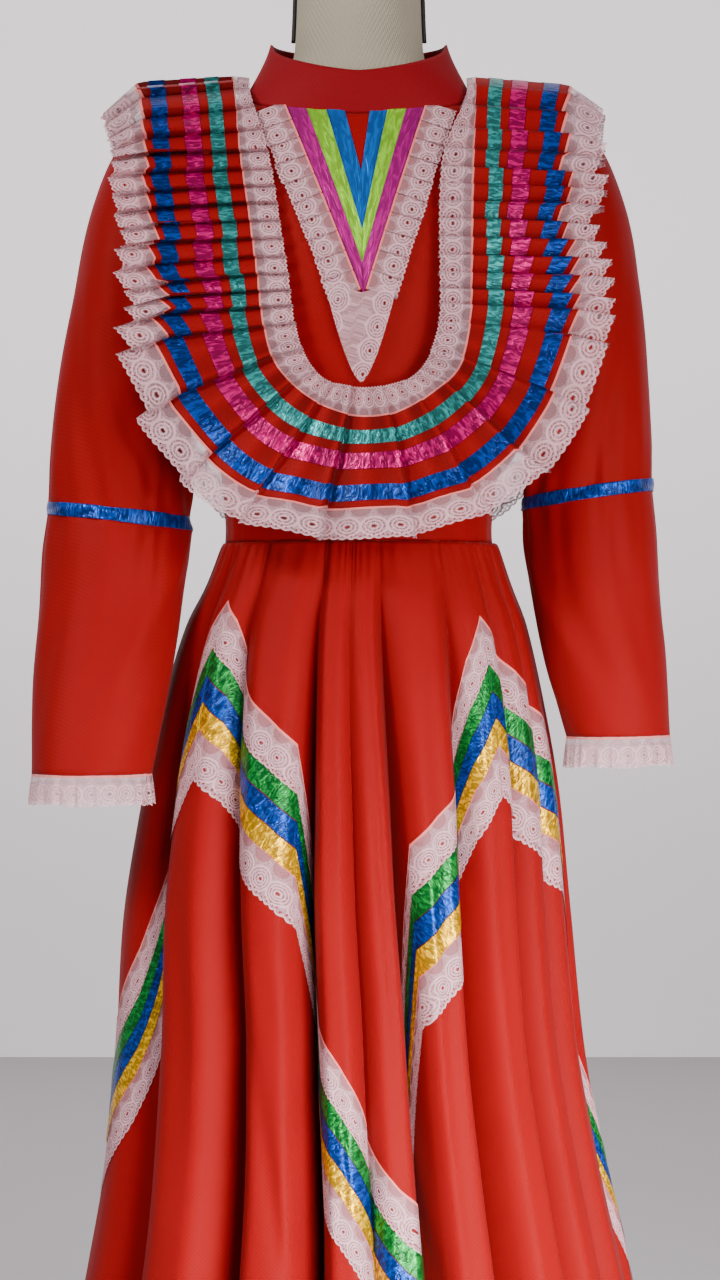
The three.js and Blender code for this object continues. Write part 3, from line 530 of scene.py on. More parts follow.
@dataclass(frozen=True)
class LaceMotif:
    """The lace's pattern: fans of rings round a small eyelet on a net, with a scalloped, pierced edge.

    Lengths are in metres. Places are shares of the lace's width, from its header to its edge, or of
    its repeat, from the middle of a fan. Each pair is where a soft step starts and ends.
    """

    fan_at: float = 0.60
    fan: tuple[float, float] = (0.56, 0.50)
    fan_rim_at: float = 0.52
    fan_rim: tuple[float, float] = (0.045, 0.02)
    ring_pitch: float = 0.0027
    ring: tuple[float, float] = (-0.1, 0.5)
    eyelet: tuple[float, float] = (0.0007, 0.0013)
    eyelet_stretch: float = 0.4
    bay_at: float = 0.08
    bay: tuple[float, float] = (0.40, 0.36)
    leaf_scale: float = 330.0
    leaf: tuple[float, float] = (0.13, 0.04)
    scallops: int = 3
    scallop_depth: float = 0.05
    edge: tuple[float, float] = (0.0, 0.012)
    rim: tuple[float, float] = (0.06, 0.035)
    beads: int = 6
    bead: tuple[float, float] = (0.2, 0.6)
    bead_row_at: float = 0.10
    bead_row: tuple[float, float] = (0.035, 0.015)
    header: tuple[float, float] = (0.075, 0.055)
    leaf_cover: float = 0.8
    thread_cover: float = 0.93
    bead_hole: float = 0.85
    net: float = 0.42
    net_fan: tuple[float, float] = (0.30, 0.62)
    net_more: float = 0.10
    net_bay: float = 0.16

    def spot(
        self,
        n: Nodes,
        turns: bpy.types.NodeSocket,
        v: bpy.types.NodeSocket,
        entry: bpy.types.Node,
        at: float,
    ) -> tuple[bpy.types.NodeSocket, bpy.types.NodeSocket]:
        """How far the cloth is from the middle of its repeat.

        Args:
            n: the group's nodes.
            turns: the way along the lace in repeats.
            v: the place across the lace.
            entry: the group's own inputs.
            at: the middle's place across.

        Returns:
            The way sideways and the distance, in metres.
        """
        x = n.times(n.less(n.math("FRACT", turns), 0.5), entry.outputs["Repeat"])
        y = n.times(n.less(v, at), entry.outputs["Width"])
        return x, n.math("SQRT", n.plus(n.times(x, x), n.times(y, y)))

    def rose(self, n: Nodes, far: bpy.types.NodeSocket, share: bpy.types.NodeSocket) -> bpy.types.NodeSocket:
        """The fan's rings and its rim.

        Args:
            n: the group's nodes.
            far: the distance from the fan's middle.
            share: the same as a share of the repeat.

        Returns:
            The threads' socket.
        """
        rings = n.math("COSINE", n.times(far, 2 * math.pi / self.ring_pitch))
        rose = n.times(n.ramp(rings, *self.ring), n.ramp(share, *self.fan))
        return n.most(rose, n.ramp(n.beside(share, self.fan_rim_at), *self.fan_rim))

    def leaves(self, n: Nodes, split: bpy.types.Node, width: bpy.types.NodeSocket) -> bpy.types.NodeSocket:
        """Threads in uneven cells, like leaves.

        Args:
            n: the group's nodes.
            split: the cloth's map.
            width: the lace's width.

        Returns:
            The threads' socket.
        """
        cells = n.add("ShaderNodeTexVoronoi", feature="DISTANCE_TO_EDGE")
        place = n.add("ShaderNodeCombineXYZ")
        n.join(n.times(split.outputs[0], self.leaf_scale), place.inputs[0])
        n.join(n.times(n.times(split.outputs[1], width), self.leaf_scale), place.inputs[1])
        n.join(place.outputs[0], cells.inputs["Vector"])
        cells.inputs["Scale"].default_value = 1.0
        return n.ramp(cells.outputs["Distance"], *self.leaf)

    def group(self) -> bpy.types.NodeTree:
        """The pattern's node group, whose map has U in metres and V from 0 at the header to 1.

        Returns:
            The group.
        """
        group, new = group_of(
            "scalloped_lace", {"Repeat": 0.017, "Width": 0.03}, ("Cover", "Height", "Header", "Thread")
        )
        if not new:
            return group
        n = Nodes(group)
        entry, leave = n.add("NodeGroupInput"), n.add("NodeGroupOutput")
        split = n.cloth_map()
        v, repeat = split.outputs[1], entry.outputs["Repeat"]
        turns = n.math("DIVIDE", split.outputs[0], repeat)
        x, far = self.spot(n, turns, v, entry, self.fan_at)
        _, bay = self.spot(n, n.plus(turns, 0.5), v, entry, self.bay_at)
        share = n.math("DIVIDE", far, repeat)
        stretched = n.times(n.math("ABSOLUTE", x), self.eyelet_stretch)
        eyelet = n.ramp(n.less(far, stretched), *self.eyelet)
        open_net = n.ramp(n.math("DIVIDE", bay, repeat), *self.bay)
        hump = n.math("ABSOLUTE", n.math("COSINE", n.times(turns, math.pi * self.scallops)))
        edge = n.plus(n.times(hump, self.scallop_depth), 1 - self.scallop_depth)
        from_edge = n.less(edge, v)
        beads = n.math("COSINE", n.times(turns, 2 * math.pi * self.beads))
        beside = n.ramp(n.beside(from_edge, self.bead_row_at), *self.bead_row)
        row = n.times(n.ramp(beads, *self.bead), beside)
        header = n.ramp(v, *self.header)
        leaf = n.times(self.leaves(n, split, entry.outputs["Width"]), self.leaf_cover)
        thread = n.times(n.most(self.rose(n, far, share), leaf), n.less(1.0, open_net))
        thread = n.most(n.most(thread, n.ramp(from_edge, *self.rim)), header)
        ground = n.plus(n.times(n.ramp(share, *self.net_fan), self.net_more), self.net)
        ground = n.less(ground, n.times(open_net, self.net_bay))
        cover = n.most(n.times(thread, self.thread_cover), ground)
        cover = n.times(cover, n.less(1.0, n.times(row, self.bead_hole)))
        cover = n.times(cover, n.times(n.ramp(from_edge, *self.edge), eyelet))
        outputs = {"Cover": cover, "Height": thread, "Header": header, "Thread": thread}
        for name, value in outputs.items():
            n.join(value, leave.inputs[name])
        return group


@dataclass(frozen=True)
class Finish:
    """What every finish has: its name, its slot and its colour."""

    name: str
    slot: str
    colour: ClothColour
    roughness: float = 0.6

    def shader(self) -> tuple[bpy.types.Material, Nodes, bpy.types.Node]:
        """A new material with its Principled shader.

        Returns:
            The material, its nodes and the shader.
        """
        material = bpy.data.materials.new(self.name)
        material.use_nodes = True
        nodes = Nodes(material.node_tree)
        shader = material.node_tree.nodes["Principled BSDF"]
        shader.inputs["Base Color"].default_value = rgba(self.colour)
        shader.inputs["Roughness"].default_value = self.roughness
        return material, nodes, shader

    def make(self) -> bpy.types.Material:
        """A plain finish."""
        return self.shader()[0]


@dataclass(frozen=True)
class Woven(Finish):
    """Plain woven cloth with a soft sheen."""

    threads: float = 1700.0
    relief: float = 0.00012
    strength: float = 0.5
    sheen: float = 0.02
    mottle: float = 0.10
    # How far painted shade darkens the cloth.
    shade: float = 0.75

    def make(self) -> bpy.types.Material:
        """The cloth's material.

        Returns:
            The material.
        """
        material, n, shader = self.shader()
        weave = n.add("ShaderNodeGroup")
        weave.node_tree = weave_group()
        weave.inputs["Threads"].default_value = self.threads
        n.join(n.bump(weave.outputs["Height"], self.strength, self.relief), shader.inputs["Normal"])
        tint = n.tint(self.colour, weave.outputs["Mottle"], 1 - self.mottle, 1 + self.mottle)
        n.join(n.shaded(tint, self.shade), shader.inputs["Base Color"])
        shader.inputs["Sheen Weight"].default_value = self.sheen
        shader.inputs["Sheen Roughness"].default_value = 0.5
        shader.inputs["Specular IOR Level"].default_value = 0.05
        return material


@dataclass(frozen=True)
class Satin(Finish):
    """Satin ribbon, puckered, with painted sheen on the puckers' crests and painted shade in their hollows.
    """

    roughness: float = 0.3
    along: float = 260.0
    across: float = 90.0
    relief: float = 0.0016
    # How much lighter the painted sheen makes the crests and darker the painted shade makes the hollows.
    painted_sheen: float = 0.58
    strength: float = 0.8
    # How far painted shade darkens the ribbon.
    shade: float = 0.6
    metallic: float = 0.45

    def make(self) -> bpy.types.Material:
        """The ribbon's material.

        Returns:
            The material.
        """
        material, n, shader = self.shader()
        crinkle = n.add("ShaderNodeGroup")
        crinkle.node_tree = crinkle_group()
        crinkle.inputs["Along"].default_value = self.along
        crinkle.inputs["Across"].default_value = self.across
        n.join(n.bump(crinkle.outputs["Height"], self.strength, self.relief), shader.inputs["Normal"])
        # Painted sheen and shade: the colour is lighter on the puckers' crests and darker in their hollows.
        mask = crinkle.outputs["Sheen Mask"]
        tint = n.tint(self.colour, mask, 1 - self.painted_sheen, 1 + self.painted_sheen / 2)
        n.join(n.shaded(tint, self.shade), shader.inputs["Base Color"])
        shader.inputs["Specular IOR Level"].default_value = 0.2
        shader.inputs["Metallic"].default_value = self.metallic
        return material


@dataclass(frozen=True)
class Lace(Finish):
    """Scalloped lace with a coloured header cord."""

    roughness: float = 0.75
    repeat: float = 0.017
    width: float = 0.03
    ground: float = 0.88
    header: float = 0.8
    relief: float = 0.0005
    strength: float = 0.6
    # How far painted shade darkens the lace.
    shade: float = 0.45
    motif: LaceMotif = LaceMotif()

    def make(self) -> bpy.types.Material:
        """The lace's material.

        Returns:
            The material.
        """
        material, n, shader = self.shader()
        pattern = n.add("ShaderNodeGroup")
        pattern.node_tree = self.motif.group()
        pattern.inputs["Repeat"].default_value = self.repeat
        pattern.inputs["Width"].default_value = self.width
        head = n.add("ShaderNodeMix", data_type="RGBA")
        n.join(n.tint(self.colour, pattern.outputs["Thread"], self.ground, 1.0), head.inputs["A"])
        head.inputs["B"].default_value = rgba(ClothColour.HEADER)
        n.join(n.times(pattern.outputs["Header"], self.header), head.inputs["Factor"])
        n.join(n.shaded(head.outputs["Result"], self.shade), shader.inputs["Base Color"])
        n.join(n.bump(pattern.outputs["Height"], self.strength, self.relief), shader.inputs["Normal"])
        n.join(pattern.outputs["Cover"], shader.inputs["Alpha"])
        return material


# The yoke's ribbons: flatter puckers with less painted sheen and shade.
FLAT_SATIN = {"roughness": 0.4, "along": 60.0, "across": 220.0, "relief": 0.0007, "painted_sheen": 0.34}

RED = Woven("red_poplin", "red_cloth", ClothColour.RED, 0.58)
COLLAR_RED = Woven("red_poplin_collar", "red_cloth", ClothColour.COLLAR_RED, 0.6)
LINEN = Woven("form_linen", "linen", ClothColour.LINEN, 0.9, threads=900.0, relief=0.0005, mottle=0.16)
TEAL = Satin("teal_ribbon", "teal_satin", ClothColour.TEAL)
PINK = Satin("pink_ribbon", "pink_satin", ClothColour.PINK)
ROYAL = Satin("royal_ribbon", "royal_satin", ClothColour.ROYAL)
MAGENTA = Satin("magenta_ribbon", "magenta_satin", ClothColour.MAGENTA, **FLAT_SATIN)
LIME = Satin("lime_ribbon", "lime_satin", ClothColour.LIME, **FLAT_SATIN)
YOKE_BLUE = Satin("yoke_blue_ribbon", "royal_satin", ClothColour.YOKE_BLUE, **FLAT_SATIN)
GREEN = Satin("green_ribbon", "green_satin", ClothColour.GREEN)
YELLOW = Satin("yellow_ribbon", "yellow_satin", ClothColour.YELLOW)
LACE = Lace("scalloped_lace", "lace", ClothColour.LACE)
WIDE_LACE = Lace("wide_scalloped_lace", "lace", ClothColour.LACE, repeat=0.022, width=0.04)
PIPING = Finish("form_piping", "piping", ClothColour.PIPING, 0.7)
STAND = Finish("stand_paint", "stand_metal", ClothColour.STAND, 0.4)


# Sheets of cloth


@dataclass
class Sheet:
    """A grid of points, columns by rows, in millimetres, with its map."""

    points: Array
    wrap: bool = False
    side: float = 1.0
    u: Array | None = None
    v: Array | None = None
    # Painted shade at each point, from 0 to 1, that the finishes darken by.
    layers: Array | None = None

    def closed(self, values: Array) -> Array:
        """The columns' values with the first again at the end, when the sheet is a ring."""
        return np.concatenate([values, values[:1]]) if self.wrap else values

    def spread(self, v: Array) -> "Sheet":
        """Gives the sheet its own map V, by row, and returns it."""
        self.v = np.broadcast_to(v, self.points.shape[:2]).copy()
        return self

    def outward(self) -> Array:
        """The unit direction out of the cloth at each point.

        Returns:
            The directions.
        """
        p = self.points
        if self.wrap:
            across = np.roll(p, -1, 0) - np.roll(p, 1, 0)
        else:
            across = np.gradient(p, axis=0)
        n = np.cross(across, np.gradient(p, axis=1)) * self.side
        return n / np.maximum(np.linalg.norm(n, axis=2, keepdims=True), 1e-9)

    def raised(self, by: float | Array) -> "Sheet":
        """The same sheet moved out of itself."""
        lift = np.broadcast_to(by, self.points.shape[:2])[..., None]
        return Sheet(self.points + self.outward() * lift, self.wrap, self.side, self.u, self.v, self.layers)

    def strip(self, first: int, last: int) -> "Sheet":
        """The rows from first to last.

        Args:
            first: the first row.
            last: the last row.

        Returns:
            The narrower sheet.
        """
        rows = slice(first, last + 1)
        u, v, layers = (None if part is None else part[:, rows] for part in (self.u, self.v, self.layers))
        return Sheet(self.points[:, rows], self.wrap, self.side, u, v, layers)

    def lengths(self) -> tuple[float, float, float]:
        """The cloth's longest way along, its longest way across and its area, in metres.

        Returns:
            The two lengths and the area.
        """
        p = self.closed(self.points)
        step = np.linalg.norm(np.diff(p, axis=0), axis=2)
        rise = np.linalg.norm(np.diff(p, axis=1), axis=2)
        a, b, c, d = p[:-1, :-1], p[1:, :-1], p[1:, 1:], p[:-1, 1:]
        halves = np.cross(b - a, c - a), np.cross(c - a, d - a)
        area = sum(float(np.linalg.norm(h, axis=2).sum()) / 2 for h in halves)
        return float(step.sum(0).max()) * MM, float(rise.sum(1).max()) * MM, area * MM * MM

    def map_u(self) -> Array:
        """The map's U: metres along the middle row, unless the sheet has its own.

        Returns:
            A value for each column and row.
        """
        if self.u is not None:
            return self.u
        p = self.closed(self.points)
        run = way_along(p[:, p.shape[1] // 2]) * MM
        return np.repeat(run[:, None], self.points.shape[1], 1)

    def map_v(self) -> Array:
        """The map's V: metres down each column, unless the sheet has its own.

        Returns:
            A value for each column and row.
        """
        if self.v is not None:
            return self.closed(self.v)
        p = self.closed(self.points)
        rise = np.linalg.norm(np.diff(p, axis=1), axis=2)
        return np.concatenate([np.zeros((len(p), 1)), np.cumsum(rise, 1)], 1) * MM


def refined(control: Array, columns: int, rows: int, wrap: bool) -> Array:
    """A smooth, finer grid through a coarse one.

    Args:
        control: the coarse grid, columns by rows.
        columns: steps in each of its column spaces.
        rows: steps in each of its row spaces.
        wrap: whether the columns close into a ring.

    Returns:
        The finer grid.
    """

    def finer(grid: Array, steps: int, ring: bool) -> Array:
        """The grid with more columns.

        Args:
            grid: columns by rows.
            steps: steps in each column space.
            ring: whether the columns close into a ring.

        Returns:
            The finer grid.
        """
        count = len(grid)
        spaces = count if ring else count - 1
        at = np.arange(spaces * steps + (0 if ring else 1)) / steps
        i = np.minimum(np.floor(at).astype(int), spaces - 1)
        t = (at - i).reshape(-1, *[1] * (grid.ndim - 1))

        def pick(values: Array, k: Array) -> Array:
            """The columns at whole places, round the ring or held at the ends."""
            return values[k % count] if ring else values[np.clip(k, 0, count - 1)]

        gaps = np.linalg.norm(np.roll(grid, -1, 0) - grid, axis=2).mean(1)
        if not ring:
            gaps = gaps[:-1]
        h = gaps[i % len(gaps)].reshape(t.shape)
        before = gaps[(i - 1) % len(gaps) if ring else np.maximum(i - 1, 0)].reshape(t.shape)
        after = gaps[(i + 1) % len(gaps) if ring else np.minimum(i + 1, len(gaps) - 1)].reshape(t.shape)
        p0, p1, p2, p3 = pick(grid, i - 1), pick(grid, i), pick(grid, i + 1), pick(grid, i + 2)
        if not ring:
            p0 = np.where((i == 0).reshape(t.shape), 2 * p1 - p2, p0)
            p3 = np.where((i == spaces - 1).reshape(t.shape), 2 * p2 - p1, p3)
        return hermite(t, p1, p2, (p2 - p0) / (before + h) * h, (p3 - p1) / (h + after) * h)

    along = finer(control, columns, wrap)
    return np.swapaxes(finer(np.swapaxes(along, 0, 1), rows, False), 0, 1)


def way_along(line: Array) -> Array:
    """The way along a line of points from its first one, with the points' own unit."""
    return np.concatenate([[0], np.cumsum(np.linalg.norm(np.diff(line, axis=0), axis=1))])


def cloth_mesh(name: str, sheet: Sheet) -> bpy.types.Object:
    """Makes a sheet's object: a bmesh grid whose vertices are moved to the sheet's points.

    Args:
        name: the object's name.
        sheet: the sheet.

    Returns:
        The object, at the origin.
    """
    points = sheet.closed(sheet.points)
    columns, rows = points.shape[:2]
    bm = bmesh.new()
    bmesh.ops.create_grid(bm, x_segments=columns - 1, y_segments=rows - 1, size=0.5)
    mesh = bpy.data.meshes.new(name)
    bm.to_mesh(mesh)
    bm.free()
    flat = np.empty(len(mesh.vertices) * 3, np.float32)
    mesh.vertices.foreach_get("co", flat)
    flat = flat.reshape(-1, 3)
    i = np.rint((flat[:, 0] + 0.5) * (columns - 1)).astype(int)
    j = np.rint((flat[:, 1] + 0.5) * (rows - 1)).astype(int)
    mesh.vertices.foreach_set("co", (points[i, j] * MM).astype(np.float32).ravel())
    corner = np.empty(len(mesh.loops), np.int32)
    mesh.loops.foreach_get("vertex_index", corner)
    layer = mesh.uv_layers.new(name="cloth")
    uv = np.stack([sheet.map_u()[i, j], sheet.map_v()[i, j]], 1)[corner]
    layer.uv.foreach_set("vector", uv.astype(np.float32).ravel())
    # The painted shade is kept on the mesh as a point attribute that the finishes read.
    if sheet.layers is not None:
        marks = sheet.closed(sheet.layers)
        mark = mesh.attributes.new("layers", "FLOAT", "POINT")
        mark.data.foreach_set("value", marks[i, j].astype(np.float32))
    if sheet.side < 0:
        mesh.flip_normals()
    if sheet.wrap:
        bm = bmesh.new()
        bm.from_mesh(mesh)
        bmesh.ops.remove_doubles(bm, verts=bm.verts, dist=1e-7)
        bm.to_mesh(mesh)
        bm.free()
    mesh.polygons.foreach_set("use_smooth", [True] * len(mesh.polygons))
    mesh.update()
    obj = bpy.data.objects.new(name, mesh)
    bpy.context.scene.collection.objects.link(obj)
    return obj


def solid_mesh(name: str, bm: bmesh.types.BMesh) -> bpy.types.Object:
    """Makes an object of a bmesh that is in millimetres.

    Args:
        name: the object's name.
        bm: the bmesh, which is freed.

    Returns:
        The object, at the origin.
    """
    bmesh.ops.recalc_face_normals(bm, faces=bm.faces)
    bmesh.ops.scale(bm, vec=(MM, MM, MM), verts=bm.verts)
    mesh = bpy.data.meshes.new(name)
    bm.to_mesh(mesh)
    bm.free()
    mesh.polygons.foreach_set("use_smooth", [True] * len(mesh.polygons))
    obj = bpy.data.objects.new(name, mesh)
    bpy.context.scene.collection.objects.link(obj)
    return obj


def capped(obj: bpy.types.Object) -> bpy.types.Object:
    """Closes the open ends of a tube-like piece and turns its faces outwards.

    Args:
        obj: the piece.

    Returns:
        The piece.
    """
    bm = bmesh.new()
    bm.from_mesh(obj.data)
    bmesh.ops.holes_fill(bm, edges=[e for e in bm.edges if e.is_boundary], sides=0)
    bmesh.ops.recalc_face_normals(bm, faces=bm.faces)
    bm.to_mesh(obj.data)
    bm.free()
    return obj


class Finishes:
    """Makes each finish's material once."""

    def __init__(self) -> None:
        """Starts with none."""
        self.made: dict[str, bpy.types.Material] = {}

    def dress(self, obj: bpy.types.Object, finish: Finish, node: str) -> bpy.types.Object:
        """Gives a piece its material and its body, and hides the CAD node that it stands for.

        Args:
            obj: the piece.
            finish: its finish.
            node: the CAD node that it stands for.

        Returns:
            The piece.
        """
        if finish.name not in self.made:
            self.made[finish.name] = finish.make()
        obj.data.materials.append(self.made[finish.name])
        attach(obj, "root")
        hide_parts(node)
        LOG.info("%s: %d faces", obj.name, len(obj.data.polygons))
        return obj


FINISHES = Finishes()


def thicken(obj: bpy.types.Object, wall: float) -> None:
    """Gives a piece a wall, in millimetres, under its surface.

    Args:
        obj: the piece.
        wall: the wall.
    """
    solid = obj.modifiers.new("wall", "SOLIDIFY")
    solid.thickness = wall * MM
    solid.offset = -1.0
    solid.use_even_offset = False


def sew(
    node: str,
    sheet: Sheet,
    finish: Finish,
    wall: float = 0.0,
    strip: bool = False,
) -> bpy.types.Object:
    """Args:
        node: the CAD node, whose name with _cloth is the piece's.
        sheet: the piece's surface.
        finish: its finish.
        wall: its thickness in millimetres, or 0 for a single layer.
        strip: whether it is cut as a plain strip of even width.

    Returns:
        The piece.
    """
    obj = FINISHES.dress(cloth_mesh(f"{node}_cloth", sheet), finish, node)
    if wall:
        thicken(obj, wall)
    width, length, area = sheet.lengths()
    if strip:
        length = area / width
    return obj


# Shapes that several pieces share


def body_radii(z: Array, off: Array) -> tuple[Array, Array]:
    """The body's half width and half depth at heights, moved out."""
    return BODY.smooth("w", z) + off, BODY.smooth("d", z) + off


def body_point(z: Array, angle: Array, off: Array) -> Array:
    """Points of the body, moved out.

    Args:
        z: heights.
        angle: degrees from the front.
        off: how far out.

    Returns:
        The points.
    """
    z, angle = np.broadcast_arrays(np.asarray(z, float), np.asarray(angle, float))
    turn = np.radians(angle)
    w, d = body_radii(z, off)
    return np.stack([w * np.sin(turn), -d * np.cos(turn), z], -1)


def on_front(x: Array, z: Array, off: Array) -> Array:
    """Points on the body's front at a place in the front view, moved forward by off.

    Args:
        x: places across.
        z: heights.
        off: how far out.

    Returns:
        The points.
    """
    w, d = body_radii(z, off)
    share = np.minimum(0.999, np.abs(x) / w)
    return np.stack([x, -d * np.sqrt(1 - share**2), z], -1)


def clear_of_body(points: Array, off: float) -> Array:
    """Pushes points straight out of the body where they lie nearer than off.

    Args:
        points: the points.
        off: the least way out of the body.

    Returns:
        The moved points.
    """

    def depth(p: Array) -> Array:
        """How far out of the moved body a point is, as a share of its radius."""
        w, d = body_radii(p[..., 2], off)
        return np.hypot(p[..., 0] / w, p[..., 1] / d) - 1

    step, rounds, near = 0.5, 8, 0.0005
    out = points.copy()
    for _ in range(rounds):
        here = depth(out)
        slope = np.stack([(depth(out + np.eye(3)[k] * step) - here) / step for k in range(3)], -1)
        push = np.where(here < -near, -here, 0.0) / np.maximum((slope**2).sum(-1), 1e-9)
        out = out + slope * push[..., None]
    return out


@dataclass(frozen=True)
class KnifePleat:
    """A knife pleat's cross-section: where along the pleat and how high each station is."""

    stations: tuple[tuple[float, float], ...] = (
        (0.0, 0.0),
        (0.18, 0.30),
        (0.40, 0.58),
        (0.62, 0.80),
        (0.82, 0.94),
        (0.94, 1.0),
        (1.01, 0.93),
        (1.03, 0.70),
        (0.99, 0.42),
        (0.965, 0.16),
    )

    def columns(self, count: int) -> tuple[Array, Array, Array]:
        """The stations of a row of pleats.

        Args:
            count: how many pleats.

        Returns:
            Each column's place in pleats, its height from 0 to 1, and its even place.
        """
        at = np.array([k + s for k in range(count) for s, _ in self.stations])
        high = np.array([h for _ in range(count) for _, h in self.stations])
        even = np.arange(count * len(self.stations)) / len(self.stations)
        return at, high, even


@dataclass(frozen=True)
class Crease:
    """A soft trough or ridge: its place across, its level, its lean, its width, its length and its depth."""

    at: float
    level: float
    lean: float
    width: float
    length: float
    depth: float

    def pressed(self, away: Array, up: Array) -> Array:
        """How far it moves the cloth, away from its line and up from its level."""
        return self.depth * bell(away, self.width) * bell(up, self.length)


# The dress form


@dataclass
class DressForm:
    """The linen-covered torso with its neck, piping, pole and base."""

    columns: int = 96
    pole_radius: float = 15.0
    base_radius: float = 165.0
    base_rim: float = 12.0
    base_height: float = 22.0
    ring_step: float = 6.0
    piping_radius: float = 2.3
    piping_foot: float = 1478.0
    slim: float = 3.2
    slim_from: float = 1220.0
    slim_to: float = 1425.0
    spin_steps: int = 64
    gap: float = 0.3
    edge_round: float = 0.6

    def torso(self) -> None:
        """Lofts the torso from its foot to the neck's flat top."""
        step = self.ring_step
        heights = np.concatenate([np.arange(FORM_FOOT_Z, FORM_TOP_Z - step, step), [FORM_TOP_Z - 4]])
        angles = np.linspace(0, 360, self.columns, endpoint=False)
        slim = -self.slim * ease((heights - self.slim_from) / 30) * ease((self.slim_to - heights) / 12)
        shell = body_point(heights[None, :], angles[:, None], slim[None, :])
        rounding = [body_point(FORM_TOP_Z - down, angles, -inward) for down, inward in ((1.2, 1.2), (0, 5))]
        shell = np.concatenate([shell, np.stack(rounding, 1)], 1)
        torso = capped(cloth_mesh("form_torso_linen", Sheet(shell, True, -1.0)))
        FINISHES.dress(torso, LINEN, "form_torso")

    def piping(self) -> None:
        """Lays a dark cord up each side of the neck."""
        for side, name in ((-1, "left"), (1, "right")):
            heights = np.linspace(self.piping_foot, FORM_TOP_Z - 6, 20)
            line = body_point(heights, 90.0 * side, self.piping_radius * 0.75)
            around = np.linspace(0, 2 * math.pi, 12, endpoint=False)
            ring = np.stack([np.cos(around), np.sin(around) * 1.25, 0 * around], -1) * self.piping_radius
            tube = line[None, :, :] + ring[:, None, :]
            obj = capped(cloth_mesh(f"form_piping_{name}_cord", Sheet(tube, True, -1.0)))
            FINISHES.dress(obj, PIPING, f"form_piping_{name}")

    def turned(self, name: str, profile: Sequence[tuple[float, float]]) -> bpy.types.Object:
        """Spins a profile of radius and height round the upright axis.

        Args:
            name: the object's name.
            profile: radius and height pairs from the axis to the axis.

        Returns:
            The object.
        """
        bm = bmesh.new()
        verts = [bm.verts.new((r, 0, z)) for r, z in profile]
        edges = [bm.edges.new(pair) for pair in zip(verts, verts[1:])]
        bmesh.ops.spin(
            bm,
            geom=verts + edges,
            cent=(0, 0, 0),
            axis=(0, 0, 1),
            angle=2 * math.pi,
            steps=self.spin_steps,
            use_merge=True,
        )
        bmesh.ops.remove_doubles(bm, verts=bm.verts, dist=1e-3)
        return solid_mesh(name, bm)

    def stand(self) -> None:
        """Turns the base and the pole."""
        r, rim, pole = self.base_radius, self.base_rim, self.pole_radius
        foot, head = self.base_height + self.gap, FORM_FOOT_Z - self.gap
        lower = [(0, 0), (r - 3, 0), (r - 0.9, 0.9), (r, 3)]
        upper = [(r, rim), (r - 1.5, rim + 2.4), (r - 6, rim + 4)]
        plate = lower + upper + [(pole * 2, self.base_height), (0, self.base_height)]
        tube = [(0, foot), (pole, foot), (pole, head), (0, head)]
        for name, node, profile in (
            ("form_base_disc", "form_base", plate),
            ("form_pole_tube", "form_pole", tube),
        ):
            obj = FINISHES.dress(self.turned(name, profile), STAND, node)
            edge = obj.modifiers.new("edge", "BEVEL")
            edge.width = self.edge_round * MM
            edge.segments = 2

    def build(self) -> None:
        """Builds the whole form."""
        self.torso()
        self.piping()
        self.stand()


# The bodice and its collar


